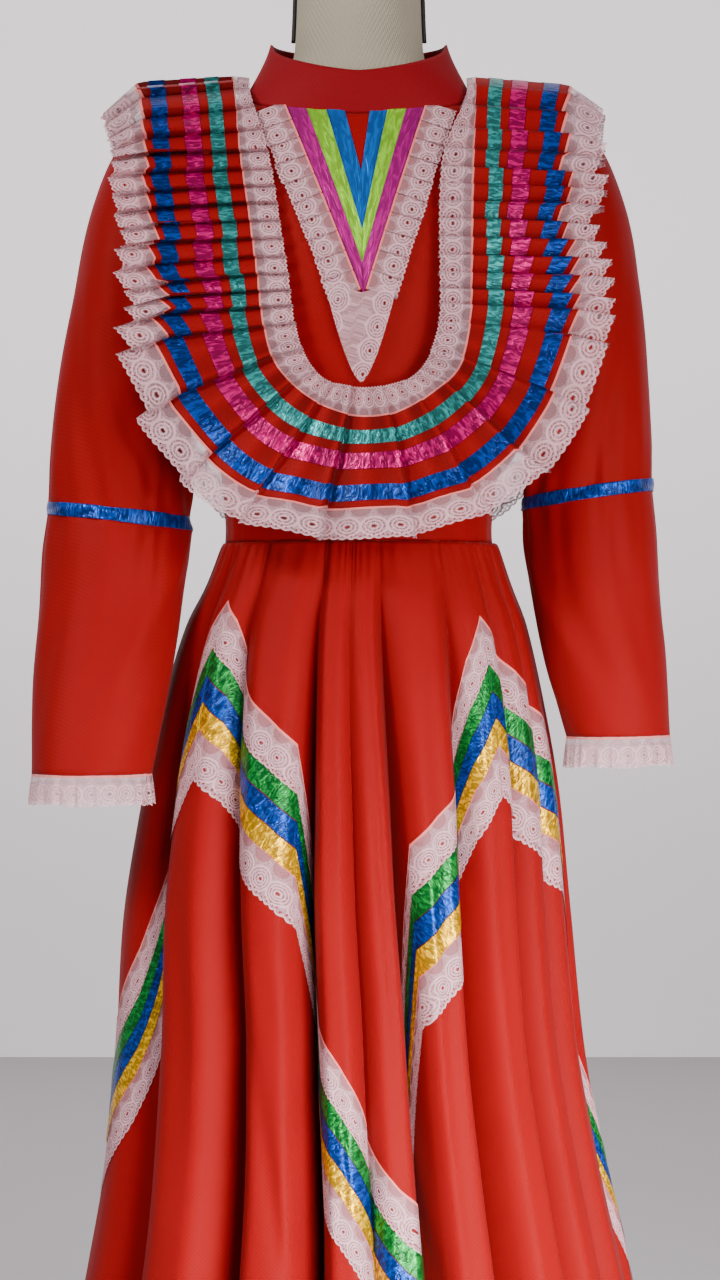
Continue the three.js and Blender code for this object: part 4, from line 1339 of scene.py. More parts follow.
@dataclass
class Bodice:
    """Front and back panels and the stand collar."""

    columns: int = 24
    rows: int = 108
    wall: float = 0.8
    seam_angle: float = 89.9
    tuck: float = 0.9
    tuck_pitch: float = 0.62
    tuck_reach: float = 38.0
    drape: float = 0.8
    collar_columns: int = 145
    collar_rows: int = 15
    collar_end: float = 179.7
    collar_wall: float = 2.2
    collar_lift: float = 0.4
    collar_bow: float = 1.2
    collar_rise_front: float = 41.0
    collar_rise_back: float = 40.0
    collar_top_width: float = 80.0
    collar_top_depth: float = 63.0

    def panel(self, back: bool) -> Sheet:
        """A panel's surface.

        Args:
            back: whether it is the back panel.

        Returns:
            The sheet.
        """
        t = np.linspace(-1, 1, 2 * self.columns + 1)[:, None]
        side_z = np.linspace(WAIST_Z, NECK_SIDE_Z, self.rows)[None, :]
        middle = NECK_BACK_Z if back else NECK_FRONT_Z
        top = mix(middle, NECK_SIDE_Z, np.abs(t) ** NECK_CURVE)
        z = mix(WAIST_Z, top, (side_z - WAIST_Z) / (NECK_SIDE_Z - WAIST_Z))
        inside = (side_z > ARMHOLE.key[0]) & (side_z < ARMHOLE.key[-1])
        limit = np.where(inside, ARMHOLE.straight("angle", side_z), self.seam_angle)
        angle = t * limit
        points = body_point(z, 180 - angle if back else angle, BODICE_CLEAR)
        sheet = Sheet(points, False, -1.0 if back else 1.0)
        near_waist = np.exp(-(z - WAIST_Z) / self.tuck_reach)
        tuck = np.sin(angle * self.tuck_pitch + 2.2 * uneven(3, angle / 14)) * near_waist * self.tuck
        drape = 0.7 * uneven(7, angle / 17 + z / 90) + 0.5 * uneven(9, angle / 9 - z / 60)
        return sheet.raised(tuck + drape * ease((z - WAIST_Z) / 60) * self.drape)

    def collar(self) -> Sheet:
        """The collar's outer surface, from its foot on the neckline to its top edge.

        Returns:
            The sheet.
        """
        angle = np.linspace(-self.collar_end, self.collar_end, self.collar_columns)[:, None]
        part = np.linspace(0, 1, self.collar_rows)[None, :]
        back = np.abs(angle) > 90
        t = np.where(back, (180 - np.abs(angle)) / 90, np.abs(angle) / 90)
        low = mix(np.where(back, NECK_BACK_Z, NECK_FRONT_Z), NECK_SIDE_Z, t**NECK_CURVE)
        rise = mix(self.collar_rise_front, self.collar_rise_back, ease(np.abs(angle) / 180))
        off = self.collar_wall
        foot = body_point(low, angle, BODICE_CLEAR - 2 + off)
        turn = np.radians(angle)
        x = (self.collar_top_width + off) * np.sin(turn)
        y = -(self.collar_top_depth + off) * np.cos(turn)
        points = mix(foot, np.stack([x, y, low + rise], -1), part[..., None])
        points[..., 2] += (1 - part) * self.collar_lift
        bow = np.sin(part * math.pi) * self.collar_bow + 0.5 * uneven(21, angle / 19) * part
        return Sheet(points, False, 1.0).raised(bow)

    def build(self) -> None:
        """Builds the panels and the collar."""
        for back, node in ((False, "bodice_front"), (True, "bodice_back")):
            sew(node, self.panel(back), RED, wall=self.wall)
        collar, wall = self.collar(), self.collar_wall
        sew("collar_band", collar, COLLAR_RED, wall=wall)


# The sleeves


SLEEVE_CREASES = (
    Crease(1.3, 5.5, 0.5, 0.20, 1.3, -3.2),
    Crease(2.0, 5.2, 0.7, 0.16, 1.1, -2.6),
    Crease(0.7, 5.7, 0.2, 0.18, 1.0, 2.0),
    Crease(2.6, 5.0, 0.9, 0.22, 1.5, -3.4),
    Crease(1.0, 7.9, -0.3, 0.22, 1.3, -2.4),
    Crease(1.9, 8.2, -0.5, 0.26, 1.6, -3.0),
    Crease(2.7, 7.7, -0.8, 0.2, 1.2, 2.2),
    Crease(1.5, 3.2, 0.3, 0.3, 1.6, -2.4),
    Crease(4.0, 6.2, 0.5, 0.24, 1.6, -2.8),
    Crease(4.9, 7.6, -0.5, 0.24, 1.8, -2.8),
    Crease(5.4, 4.4, 0.4, 0.28, 1.5, -2.2),
)


@dataclass
class Sleeve:
    """A long sleeve with a ribbon tied above the elbow and a lace ruffle at the cuff."""

    side: int
    suffix: str
    rings: Table
    ribbon_ring: int = 6
    columns: int = 16
    column_steps: int = 8
    row_steps: int = 12
    wall: float = 0.8
    head_clear: float = 0.6
    twist: float = 0.12
    gather: float = 1.3
    tie: float = 2.0
    head_gather: float = 0.9
    loose: float = 0.8
    ribbon_lift: float = 1.3
    ribbon_map: float = 0.012
    ribbon_wall: float = 0.4
    cuff_lace: float = 28.0
    cuff_gap: float = 0.4
    cuff_wave: float = 1.5
    gathers: int = 22

    def control(self) -> Array:
        """The coarse grid, from the armhole's edge down to the cuff.

        Returns:
            Points, columns round the sleeve by rings.
        """
        heights = ARMHOLE.key
        clear = BODICE_CLEAR + self.head_clear
        out = []
        for k in (5, 4, 3, 2.5, 2, 1.5, 1, 0.5, 0):
            ends = [heights[int(math.floor(k))], heights[int(math.ceil(k))]]
            a, b = (body_point(z, ARMHOLE.straight("angle", z) * self.side, clear) for z in ends)
            out.append(mix(a, b, k - math.floor(k)))
        out += [p * np.array([1, -1, 1]) for p in out[-2:0:-1]]
        grid = [np.array(out)]
        a = 2 * math.pi * np.arange(self.columns) / self.columns
        t = (1 - np.cos(a)) / 2
        for r in range(len(self.rings.key)):
            row = {name: values[r] for name, values in self.rings.data.items()}
            x, z = mix(row["ox"], row["ix"], t), mix(row["oz"], row["iz"], t)
            grid.append(np.stack([x, row["y"] - row["half"] * np.sin(a), z], -1))
        return np.swapaxes(np.array(grid), 0, 1)

    def surface(self, gathered: bool = True) -> Sheet:
        """The sleeve's cloth with its creases.

        Args:
            gathered: whether it has the small gathers beside the ribbon.

        Returns:
            The surface.
        """
        rows = self.row_steps
        fine = refined(self.control(), self.column_steps, rows, True)
        sheet = Sheet(fine, True, float(self.side))
        columns, count = fine.shape[:2]
        turn = (2 * math.pi * np.arange(columns) / columns)[:, None]
        ring = (np.arange(count) / rows)[None, :]
        lift = np.zeros((columns, count))
        for c in SLEEVE_CREASES:
            up = ring - c.level
            line = c.at + c.lean * up / c.length + self.twist * self.side
            lift += c.pressed(np.angle(np.exp(1j * (turn - line))), up)
        to_ribbon = np.abs(ring - self.ribbon_ring - 0.5)
        wave = np.sin(turn * 15 + 2.4 * uneven(5 + self.side, turn * 2.5))
        if gathered:
            held = np.exp(-((to_ribbon / 0.5) ** 4))
            lift += self.gather * wave * bell(to_ribbon, 1.1) * (1 - held)
        lift -= self.tie * np.exp(-((to_ribbon / 0.75) ** 6))
        at_head = np.exp(-(ring / 0.8)) * ease(ring / 0.2)
        lift += self.head_gather * np.sin(turn * 18 + 2 * uneven(11, turn * 3)) * at_head
        lift += self.loose * uneven(13 + self.side, turn * 2.2 + ring * 1.7)
        return sheet.raised(lift * ease(ring / 0.25))

    def ruffle(self, sleeve: Sheet) -> Sheet:
        """The gathered cuff lace, hanging from the sleeve's lower edge.

        Args:
            sleeve: the sleeve's surface.

        Returns:
            The lace's surface, with V from 0 to 1 across it.
        """
        edge = np.repeat(sleeve.points[:, -1], 3, 0)
        ways = np.repeat(sleeve.outward()[:, -1], 3, 0)
        blend = (np.arange(len(edge)) % 3)[:, None] / 3
        edge = mix(edge, np.roll(edge, -3, 0), blend)
        part = np.linspace(0, 1, 11)[None, :]
        turn = np.linspace(0, 2 * math.pi, len(edge), endpoint=False)[:, None]
        wave = np.sin(turn * self.gathers + 1.8 * uneven(31, turn * 6)) * self.cuff_wave
        out = (part * 2.0 + wave * part**0.7)[..., None] * ways[:, None, :]
        points = edge[:, None, :] + out
        points[..., 2] -= self.cuff_gap + part * (self.cuff_lace - self.cuff_gap + 0.8 * np.sin(turn * 5))
        return Sheet(points, True, float(self.side)).spread(part)

    def build(self) -> None:
        """Builds the sleeve, its ribbon and its cuff lace."""
        cloth = self.surface()
        sew(f"sleeve_{self.suffix}", cloth, RED, wall=self.wall)
        first = self.ribbon_ring * self.row_steps
        band = self.surface(False).strip(first, first + self.row_steps).raised(self.ribbon_lift)
        band.spread(np.linspace(0, self.ribbon_map, self.row_steps + 1))
        sew(f"sleeve_ribbon_{self.suffix}", band, ROYAL, wall=self.ribbon_wall)
        sew(f"cuff_lace_{self.suffix}", self.ruffle(cloth), LACE)


# The skirt and its zigzag band


class Strip(Enum):
    """The zigzag band's strips: node, start and end below the band's top edge, and finish."""

    LACE_TOP = ("zigzag_lace_top", 0, 45, WIDE_LACE)
    GREEN = ("zigzag_ribbon_green", 44, 67.5, GREEN)
    BLUE = ("zigzag_ribbon_blue", 68.5, 91.5, ROYAL)
    YELLOW = ("zigzag_ribbon_yellow", 92.5, 116, YELLOW)
    LACE_BOTTOM = ("zigzag_lace_bottom", 114, 162, WIDE_LACE)


SKIRT_CREASES = (
    Crease(1.9, 700, 0.10, 0.10, 190, -3.5),
    Crease(2.75, 520, -0.05, 0.09, 240, -3.0),
    Crease(3.05, 420, 0.22, 0.07, 170, -4.0),
    Crease(2.95, 760, 0.10, 0.08, 150, 2.2),
    Crease(4.7, 330, 0.30, 0.10, 170, -3.5),
    Crease(5.05, 700, 0.02, 0.07, 210, -2.6),
    Crease(6.0, 600, -0.06, 0.08, 260, -3.2),
    Crease(6.9, 760, 0.04, 0.08, 180, -2.6),
    Crease(7.4, 420, 0.05, 0.10, 240, -3.0),
    Crease(8.2, 640, 0.05, 0.12, 230, -2.5),
    Crease(9.1, 520, -0.05, 0.10, 230, -3.0),
    Crease(10.2, 640, 0.1, 0.12, 200, -3.0),
    Crease(11.6, 500, 0.1, 0.1, 240, -3.5),
    Crease(12.7, 690, -0.08, 0.1, 200, -3.0),
    Crease(13.4, 430, 0.1, 0.1, 230, -3.5),
    Crease(14.8, 620, 0.06, 0.1, 220, -3.0),
    Crease(16.1, 520, -0.1, 0.12, 240, -3.5),
    Crease(17.2, 690, 0.05, 0.1, 200, -3.0),
)


@dataclass
class Skirt:
    """A full skirt gathered into the waist, with a band of lace and ribbon that zigzags round it."""

    per_fold: int = 26
    rows: int = 120
    wall: float = 0.9
    seam: float = 0.5
    side_seam: float = 9.5
    seam_gap: float = 0.004
    waist_gap: float = 0.3
    full_fold_z: float = 560.0
    gather: float = 1.1
    gather_pitch: float = 31.0
    loose: float = 0.9
    lace_rows: int = 9
    lace_lift: float = 0.9
    ribbon_rows: int = 6
    ribbon_lift: float = 1.5
    ribbon_pucker: float = 0.35
    ribbon_map: float = 0.022
    broad: float = 1.55
    crest_flat: float = 0.18
    # How dark the painted shade in the valleys goes.
    valley: float = 0.62

    def point(self, at: Array, z: Array) -> Array:
        """Points of the skirt.

        Args:
            at: places along the folds, whole numbers on the crests.
            z: heights.

        Returns:
            The points.
        """
        at, z = np.broadcast_arrays(np.asarray(at, float), np.asarray(z, float))
        i = np.floor(at + 0.5).astype(int) - 1
        off = (at - (i + 1)) * 2
        s = np.abs(off)
        down = ease((z - self.full_fold_z) / (WAIST_Z - self.full_fold_z))

        def read(column: str, k: Array) -> Array:
            """A fold's angle in degrees, between the hem's and the waist's.

            Args:
                column: the crests' or the troughs' column.
                k: the folds' rows, on and on round the skirt.

            Returns:
                The angles.
            """
            turn = np.floor_divide(k, FOLD_COUNT) * 360.0
            low = FOLDS.data[column][k % FOLD_COUNT]
            top = FOLDS.data[f"{column}_top"][k % FOLD_COUNT]
            return mix(low, top, down) + turn

        after = off >= 0
        crest = read("crest", i)
        trough = np.where(after, read("trough", i), read("trough", i - 1))
        share = FOLDS.data["share"][np.where(after, i, i - 1) % FOLD_COUNT]
        angle = np.radians(mix(crest, trough, 1 - (1 - np.minimum(s, 1)) ** self.broad))
        fall = ease((s - self.crest_flat) / (1 - self.crest_flat))
        depth = share * SKIRT.smooth("fold", z) * fall + self.drape(at, z)
        w = SKIRT.smooth("w", z) - depth
        d = SKIRT.smooth("d", z) - depth
        return np.stack([SKIRT.smooth("shift", z) + w * np.sin(angle), -d * np.cos(angle), z], -1)

    def drape(self, at: Array, z: Array) -> Array:
        """How far soft creases and the waist's gathers draw the cloth in.

        Args:
            at: places along the folds.
            z: heights.

        Returns:
            Millimetres.
        """
        ring = FOLD_COUNT
        total = np.zeros(at.shape)
        for c in SKIRT_CREASES:
            up = z - c.level
            away = (at - c.at + c.lean * up / c.length + ring / 2) % ring - ring / 2
            total -= c.pressed(away, up)
        fall = WAIST_Z - z
        waves = np.sin(at * self.gather_pitch + 3.0 * uneven(17, at * 2))
        total += self.gather * np.exp(-fall / 30.0) * waves * ease(fall / 6)
        total += self.loose * uneven(19, at * 3.1 + z / 140) * ease(fall / 120)
        return total

    def layers(self, at: Array, z: Array) -> Array:
        """How much painted shade lies in the valleys between the folds, more so toward the hem.

        Args:
            at: places along the folds.
            z: heights.

        Returns:
            Marks from 0 to 1.
        """
        at, z = np.broadcast_arrays(np.asarray(at, float), np.asarray(z, float))
        near = np.floor(at + 0.5)
        off = np.abs(at - near) * 2
        share = FOLDS.data["share"][np.where(at < near, near - 2, near - 1).astype(int) % FOLD_COUNT]
        # Painted shade: darker toward the troughs, fading in below the waist.
        depth = ease((off - 0.45) / 0.55) * ease((WAIST_Z - z) / 160)
        return np.clip(self.valley * share * depth, 0, 1)

    def panel(self, first: float, last: float) -> Sheet:
        """A panel between two places along the folds.

        Args:
            first: the place of its first side seam.
            last: the place of its other one.

        Returns:
            The sheet.
        """
        count = int(round((last - first) * self.per_fold)) + 1
        at = np.linspace(first + self.seam_gap, last - self.seam_gap, count)[:, None]
        part = np.linspace(0, 1, self.rows)[None, :]
        z = mix(WAIST_Z - self.waist_gap, HEM_Z, part**1.15)
        return Sheet(self.point(at, z), False, -1.0, layers=self.layers(at, z))

    def strip(self, strip: Strip) -> Sheet:
        """A strip of the zigzag band.

        Args:
            strip: which strip.

        Returns:
            Its surface, laid just off the skirt; a lace's V runs from 0 to 1 to its scalloped edge.
        """
        _, start, end, finish = strip.value
        count = FOLD_COUNT * self.per_fold * 2
        at = (self.seam + np.arange(count) * FOLD_COUNT / count)[:, None]
        edge = ZIGZAG.straight("z", at)
        is_lace = isinstance(finish, Lace)
        part = np.linspace(0, 1, self.lace_rows if is_lace else self.ribbon_rows)[None, :]
        z = edge - start - (end - start) * part
        base = Sheet(self.point(at, z), True, -1.0)
        pucker = np.sin(at * 60 + 3 * uneven(41, at * 5)) * np.sin(part * math.pi)
        lift = self.lace_lift if is_lace else self.ribbon_lift + self.ribbon_pucker * pucker
        path = self.point(at, edge - start).reshape(-1, 3)
        step = np.diff(np.concatenate([path, path[:1]]), axis=0)
        size = np.linalg.norm(step, axis=1)
        climb = step[:, 2] / size
        climb = np.append(climb, climb[0])
        run = np.append(0, np.cumsum(size))
        u = (run[:, None] - climb[:, None] * (end - start) * part) * MM
        sheet = base.raised(lift).spread(part if is_lace else part * self.ribbon_map)
        sheet.u = u
        sheet.layers = self.layers(at, z)
        return sheet

    def build(self) -> None:
        """Builds the panels and the band."""
        seams = (self.seam, self.side_seam, self.seam + FOLD_COUNT)
        for face, first, last in zip(("front", "back"), seams, seams[1:]):
            panel, on = self.panel(first, last), [f"bodice_{face}_cloth"]
            sew(f"skirt_{face}", panel, RED, wall=self.wall)
        for strip in Strip:
            node, _, _, finish = strip.value
            sew(node, self.strip(strip), finish)


# The bib


@dataclass
class Bib:
    """The knife-pleated flounce with its ribbons and laces, over the shoulders to the back."""

    pleat: KnifePleat = field(default_factory=KnifePleat)
    across: int = 41
    lace_rows: int = 9
    middle: float = 18.5
    inner_off: tuple[float, float] = (7.5, 16.0)
    seam_off: tuple[float, float] = (5.5, 8.0)
    seam_rise: tuple[float, float] = (6.2, 6.5)
    end_rise: tuple[float, float] = (9.0, 16.5)
    curve_half: float = 5.5
    curve_soft: float = 2.5
    soft_share: float = 0.55
    odd_height: float = 0.22
    free_wave: float = 1.2
    calm: float = 0.25
    stagger: tuple[float, float] = (1.5, 3.8)
    slant: float = 2.4
    tuck_in: float = 3.0
    wall: float = 0.8
    ribbon_lift: float = 0.7
    ribbon_map: float = 0.015
    lace_lift: float = 0.3

    def lines(self, pleat: Array, back: Array) -> dict[str, Array]:
        """The bib's four lines.

        Args:
            pleat: places in front pleats.
            back: where the bib is behind.

        Returns:
            Points by the lines' letters.
        """
        out = {}
        offs = {"a": self.inner_off, "b": self.seam_off}
        for line in "abce":
            p = np.stack([BIB.smooth(f"{line}{axis}", pleat) for axis in "xyz"], -1)
            p[..., 1] *= np.where(back, -BACK_FLATTEN, 1.0)
            if line in offs:
                front, behind = (clear_of_body(p, BODICE_CLEAR + off) for off in offs[line])
                p = np.where(back[..., None], behind, front)
            out[line] = p
        return out

    def surface(self) -> tuple[Sheet, int, int]:
        """The whole pleated surface.

        Returns:
            The sheet, the row of the inner seam and the row of the flounce's end.
        """
        front_at, front_high, front_even = self.pleat.columns(FRONT_PLEATS)
        back_at, back_high, back_even = self.pleat.columns(BACK_PLEATS)
        wide = FRONT_PLEATS / BACK_PLEATS
        at = np.concatenate([front_at, FRONT_PLEATS - back_at * wide])
        high = np.concatenate([front_high, back_high])
        back = np.concatenate([np.zeros(len(front_at), bool), np.ones(len(back_at), bool)])
        number = np.concatenate([np.floor(front_at), 60 + np.floor(back_at)])
        phase = np.concatenate([front_at % 1, back_at % 1])
        behind = back | (at < 0) | (at > FRONT_PLEATS)
        at = np.where(at < 0, -at, np.where(at > FRONT_PLEATS, 2 * FRONT_PLEATS - at, at))
        line = self.lines(at, behind)
        low = ease((self.curve_half - np.abs(at - self.middle)) / self.curve_soft)[:, None]
        inner = np.linspace(0, 1, self.lace_rows)[:-1]
        width = np.linspace(0, 1, self.across)[:-1]
        outer = np.linspace(0, 1, self.lace_rows)
        rows = [mix(line["a"], line["b"], f) for f in inner]
        rows += [mix(line["b"], line["c"], f) for f in width]
        rows += [mix(line["c"], line["e"], f) for f in outer]
        base = np.stack(rows, 1)
        f = np.concatenate([inner * 0, width, np.ones(len(outer))])[None, :]
        free = np.concatenate([1 - inner, width * 0, outer])[None, :]
        seam = mix(*self.seam_rise, low) + back[:, None]
        end = mix(*self.end_rise, low) + back[:, None]
        rise = mix(seam, end, f)
        wave = 0.5 - 0.5 * np.cos(2 * math.pi * (phase[:, None] * 0.96 + 0.02))
        soft = low * ease((f - 0.25) / 0.6)
        shape = mix(high[:, None], wave, soft * self.soft_share)
        ways = Sheet(base, True, -1.0).outward()
        odd = 1 + self.odd_height * uneven(51, number)[:, None] * (0.4 + 0.6 * f)
        lift = rise * shape * odd + free * self.free_wave * uneven(53, number * 1.7 + 0.3)[:, None]
        points = base + ways * lift[..., None]
        reach = line["e"] - line["b"]
        reach /= np.maximum(np.linalg.norm(reach, axis=1), 1e-9)[:, None]
        legs = 1 - self.calm * low
        step, more = self.stagger
        stagger = (step + more * f**1.5) * uneven(57, number)[:, None] * ease(f / 0.1) * legs
        own = np.concatenate([front_even, FRONT_PLEATS - back_even * wide])
        even = np.concatenate([front_even, back_even])
        share = np.clip(np.concatenate([front_at, back_at]) - np.floor(even), 0, 1)
        corner = TABS.straight("out", np.floor(own)) * np.where(own < self.middle, 1 - share, share)
        stagger = stagger + (corner[:, None] - self.tuck_in) * f**1.5 * ~back[:, None]
        points += reach[:, None, :] * stagger[..., None]
        along = np.roll(base, -5, 0) - np.roll(base, 5, 0)
        along /= np.maximum(np.linalg.norm(along, axis=2, keepdims=True), 1e-9)
        slant = self.slant * uneven(59, number * 1.3)[:, None] * f**1.5 * legs
        points += along * slant[..., None]
        # Painted shade in the pleats' hollows and under their edges.
        layers = self.layers(phase[:, None], number[:, None], low, f)
        sheet = Sheet(points, True, -1.0, layers=layers)
        return sheet, len(inner), len(inner) + len(width)

    def layers(self, phase: Array, number: Array, low: Array, f: Array) -> Array:
        """How much painted shade lies on each pleat: in its low part after the last pleat's edge, under its
        own folded edge, and over its back half in the lower curve.

        Args:
            phase: places from 0 to 1 within each pleat.
            number: the pleats' own numbers.
            low: 1 in the bib's lower curve and 0 on its legs.
            f: from 0 at the inner seam to 1 at the flounce's end.

        Returns:
            Marks from 0 to 1.
        """
        # A soft dark band after the last pleat's edge, a thin one under this pleat's own edge, and a broad
        # one in the lower curve: all painted shade.
        fold = bell(phase, 0.27) + 0.55 * bell(phase - 0.98, 0.05)
        strength = (0.75 + 0.45 * uneven(63, number)) * (1 - 0.15 * low * ease((f - 0.25) / 0.6))
        broad = 0.85 * low * ease((phase - 0.45) / 0.2) * ease((0.95 - phase) / 0.1)
        return np.clip(fold * strength + broad * (1 - 0.6 * f), 0, 1)

    def even_u(self, sheet: Sheet, row: int) -> Array:
        """The map's U from the real way along one row of the pleated cloth.

        Args:
            sheet: the whole pleated surface.
            row: the row.

        Returns:
            Metres for each of the sheet's columns and rows.
        """
        run = way_along(sheet.closed(sheet.points)[:, row]) * MM
        return np.repeat(run[:, None], sheet.points.shape[1], 1)

    def build(self) -> None:
        """Builds the flounce, its ribbons and its laces."""
        sheet, seam, end = self.surface()
        sheet.u = self.even_u(sheet, (seam + end) // 2)
        sew("bib_flounce", sheet.strip(seam, end), RED, wall=self.wall)
        across = self.across - 1
        for node, start, stop, finish in (
            ("bib_ribbon_teal", 0.14, 0.305, TEAL),
            ("bib_ribbon_pink", 0.41, 0.58, PINK),
            ("bib_ribbon_blue", 0.75, 0.92, ROYAL),
        ):
            first, last = seam + round(start * across), seam + round(stop * across)
            ribbon = sheet.strip(first, last).raised(self.ribbon_lift)
            ribbon.spread(np.linspace(0, self.ribbon_map, last - first + 1))
            sew(node, ribbon, finish)
        last = sheet.points.shape[1] - 1
        inner = sheet.strip(0, seam).raised(self.lace_lift).spread(np.linspace(1, 0, seam + 1))
        outer = sheet.strip(end, last).raised(self.lace_lift).spread(np.linspace(0, 1, last - end + 1))
        sew("bib_lace_inner", inner, LACE)
        sew("bib_lace_outer", outer, LACE)


# The yoke


@dataclass(frozen=True)
class VEdge:
    """A ribbon's edge in the front view: its left end, its tip and its right end."""

    left: tuple[float, float]
    tip: tuple[float, float]
    right: tuple[float, float]

    def run(self, side: int) -> tuple[Array, float]:
        """The way from one side's end down to the tip.

        Args:
            side: -1 for the left end and 1 for the right one.

        Returns:
            The unit direction and the length.
        """
        way = np.array(self.tip, float) - np.array(self.left if side < 0 else self.right, float)
        length = float(np.linalg.norm(way))
        return way / length, length


YOKE_EDGES = (
    VEdge((-68, 1413), (4, 1228), (61, 1412)),
    VEdge((-49, 1408), (3, 1257), (44, 1407)),
    VEdge((-30, 1404), (3, 1287), (26, 1403)),
    VEdge((-13, 1402), (2, 1342), (10, 1402)),
)


@dataclass
class Yoke:
    """Nested V ribbons, the pleated lace beside them and the pointed lace end."""

    lay: float = BODICE_CLEAR + 1.4
    ribbon_columns: int = 121
    ribbon_rows: int = 9
    ribbon_gap: float = 0.3
    ribbon_pucker: float = 0.35
    ribbon_map: float = 0.015
    pleats: int = 10
    pleat_height: float = 3.2
    lace_rows: int = 11
    lace_width: float = 30.0
    lace_short: float = 6.0
    tip_columns: int = 33
    tip_rows: int = 15
    tip_map: float = 34.0
    tip_shift: float = 9.0
    tip_top: float = 1222.0
    tip_low: float = 1150.0
    tip_half: float = 33.0

    def edge(self, k: int, t: Array, inset: float) -> tuple[Array, Array]:
        """A V's edge in the front view.

        Args:
            k: which edge, from the outside.
            t: from 0 at the left end to 1 at the right one.
            inset: how far the edge is moved down.

        Returns:
            X and Z.
        """
        edge, right = YOKE_EDGES[k], t > 0.5
        s = np.where(right, 2 - 2 * t, 2 * t)
        x, z = (mix(np.where(right, edge.right[n], edge.left[n]), edge.tip[n], s) for n in (0, 1))
        return x, z - inset

    def ribbon(self, k: int) -> Sheet:
        """The V ribbon between two edges, crossed over at the tip, where a thin line of painted shade marks
        the crossing.

        Args:
            k: its outer edge, from the outside.

        Returns:
            The sheet.
        """
        t = np.linspace(0, 1, self.ribbon_columns)[:, None]
        part = np.linspace(0, 1, self.ribbon_rows)[None, :]
        x0, z0 = self.edge(k, t, 0.0)
        x1, z1 = self.edge(k + 1, t, -self.ribbon_gap)
        x, z = mix(x0, x1, part), mix(z0, z1, part)
        lift = self.lay + self.ribbon_pucker * uneven(61 + k, t * 26) * np.sin(part * math.pi)
        # Painted shade: a thin dark line down the tip, and a darker band along the ribbon's outer edge
        # beside the next piece outside it.
        seam = bell(t - 0.5, 0.006)
        rim = 0.8 * np.maximum(1 - part * 14, 0)
        sheet = Sheet(on_front(x, z, lift), False, 1.0, layers=np.clip(seam + rim, 0, 1))
        return sheet.spread(part * self.ribbon_map)

    def lace(self, side: int) -> Sheet:
        """The knife-pleated lace down one side of the V.

        Args:
            side: -1 for the left and 1 for the right.

        Returns:
            The sheet.
        """
        rows = self.lace_rows
        ex, ez = YOKE_EDGES[0].left if side < 0 else YOKE_EDGES[0].right
        run, leg = YOKE_EDGES[0].run(side)
        out = np.array([side * abs(run[1]), -abs(run[0])])
        at, high, _ = KnifePleat().columns(self.pleats)
        number = np.floor(at)
        s = (at / self.pleats * (leg - self.lace_short))[:, None]
        v = np.linspace(0, 1, rows)[None, :]
        reach = (0.3 + v * self.lace_width) * (1 + 0.05 * uneven(71 + side, number)[:, None] * v)
        slant = 2.5 * v * uneven(73 + side, number)[:, None]
        x = ex + run[0] * (s + slant) + out[0] * reach
        z = ez + run[1] * (s + slant) + out[1] * reach
        lift = self.lay + self.pleat_height * high[:, None] * (0.55 + 0.45 * v)
        sheet = Sheet(on_front(x, z, lift), False, float(side)).spread(v)
        sheet.u = np.repeat((way_along(sheet.points[:, rows // 2]) * MM)[:, None], rows, 1)
        return sheet

    def tip(self) -> Sheet:
        """The pointed end of lace over the tip of the V.

        Returns:
            The sheet, whose map runs along the V's right leg and is shifted on that leg's other side.
        """
        k = np.linspace(-1, 1, self.tip_columns)[:, None]
        v = np.linspace(0, 1, self.tip_rows)[None, :]
        low = mix(self.tip_low, self.tip_top - 14, np.abs(k) ** 1.5)
        x = 2 + k * self.tip_half * (1 - 0.25 * v)
        z = mix(self.tip_top + 7.5 + 9 * np.abs(k), low, v)
        lift = self.lay + self.pleat_height + 1.6 + 0.9 * np.cos(k * 7) * v
        sheet = Sheet(on_front(x, z, lift), False, -1.0)
        tx, tz = YOKE_EDGES[0].tip
        run, _ = YOKE_EDGES[0].run(1)
        away = (x - tx) * run[1] - (z - tz) * run[0]
        sheet.v = np.clip(np.abs(away) / self.tip_map, 0.3, 0.96)
        sheet.u = ((x - tx) * run[0] + (z - tz) * run[1] + np.where(away < 0, self.tip_shift, 0)) * MM
        return sheet

    def build(self) -> None:
        """Builds the ribbons and the laces."""
        for k, (name, finish) in enumerate((("magenta", MAGENTA), ("lime", LIME), ("blue", YOKE_BLUE))):
            sew(f"yoke_ribbon_{name}", self.ribbon(k), finish, strip=True)
        for side, name in ((-1, "left"), (1, "right")):
            sew(f"yoke_lace_{name}", self.lace(side), LACE)
        sew("yoke_lace_tip", self.tip(), WIDE_LACE, strip=True)


# The studio


@dataclass(frozen=True)
class Lamp:
    """A soft, round area lamp: its place and aim in metres, its size, its watts and its fan of light."""

    name: str
    place: tuple[float, float, float]
    aim: tuple[float, float, float]
    size: float
    power: float
    spread: float = 180.0

    def build(self) -> None:
        """Hangs the lamp."""
        data = bpy.data.lights.new(self.name, "AREA")
        data.spread = math.radians(self.spread)
        data.shape = "DISK"
        data.size = self.size
        data.energy = self.power
        lamp = bpy.data.objects.new(self.name, data)
        bpy.context.scene.collection.objects.link(lamp)
        lamp.location = self.place
        way = Vector(self.aim) - Vector(self.place)
        lamp.rotation_euler = way.to_track_quat("-Z", "Y").to_euler()


LAMPS = (
    Lamp("key", (-1.6, -1.4, 2.5), (0, 0, 1.15), 0.6, 57),
    Lamp("fill", (1.5, -2.0, 1.8), (0, 0, 1.3), 1.0, 11, spread=90),
    Lamp("low", (0.7, -1.6, 0.5), (0.1, 0, 0.16), 1.0, 17, spread=72),
)


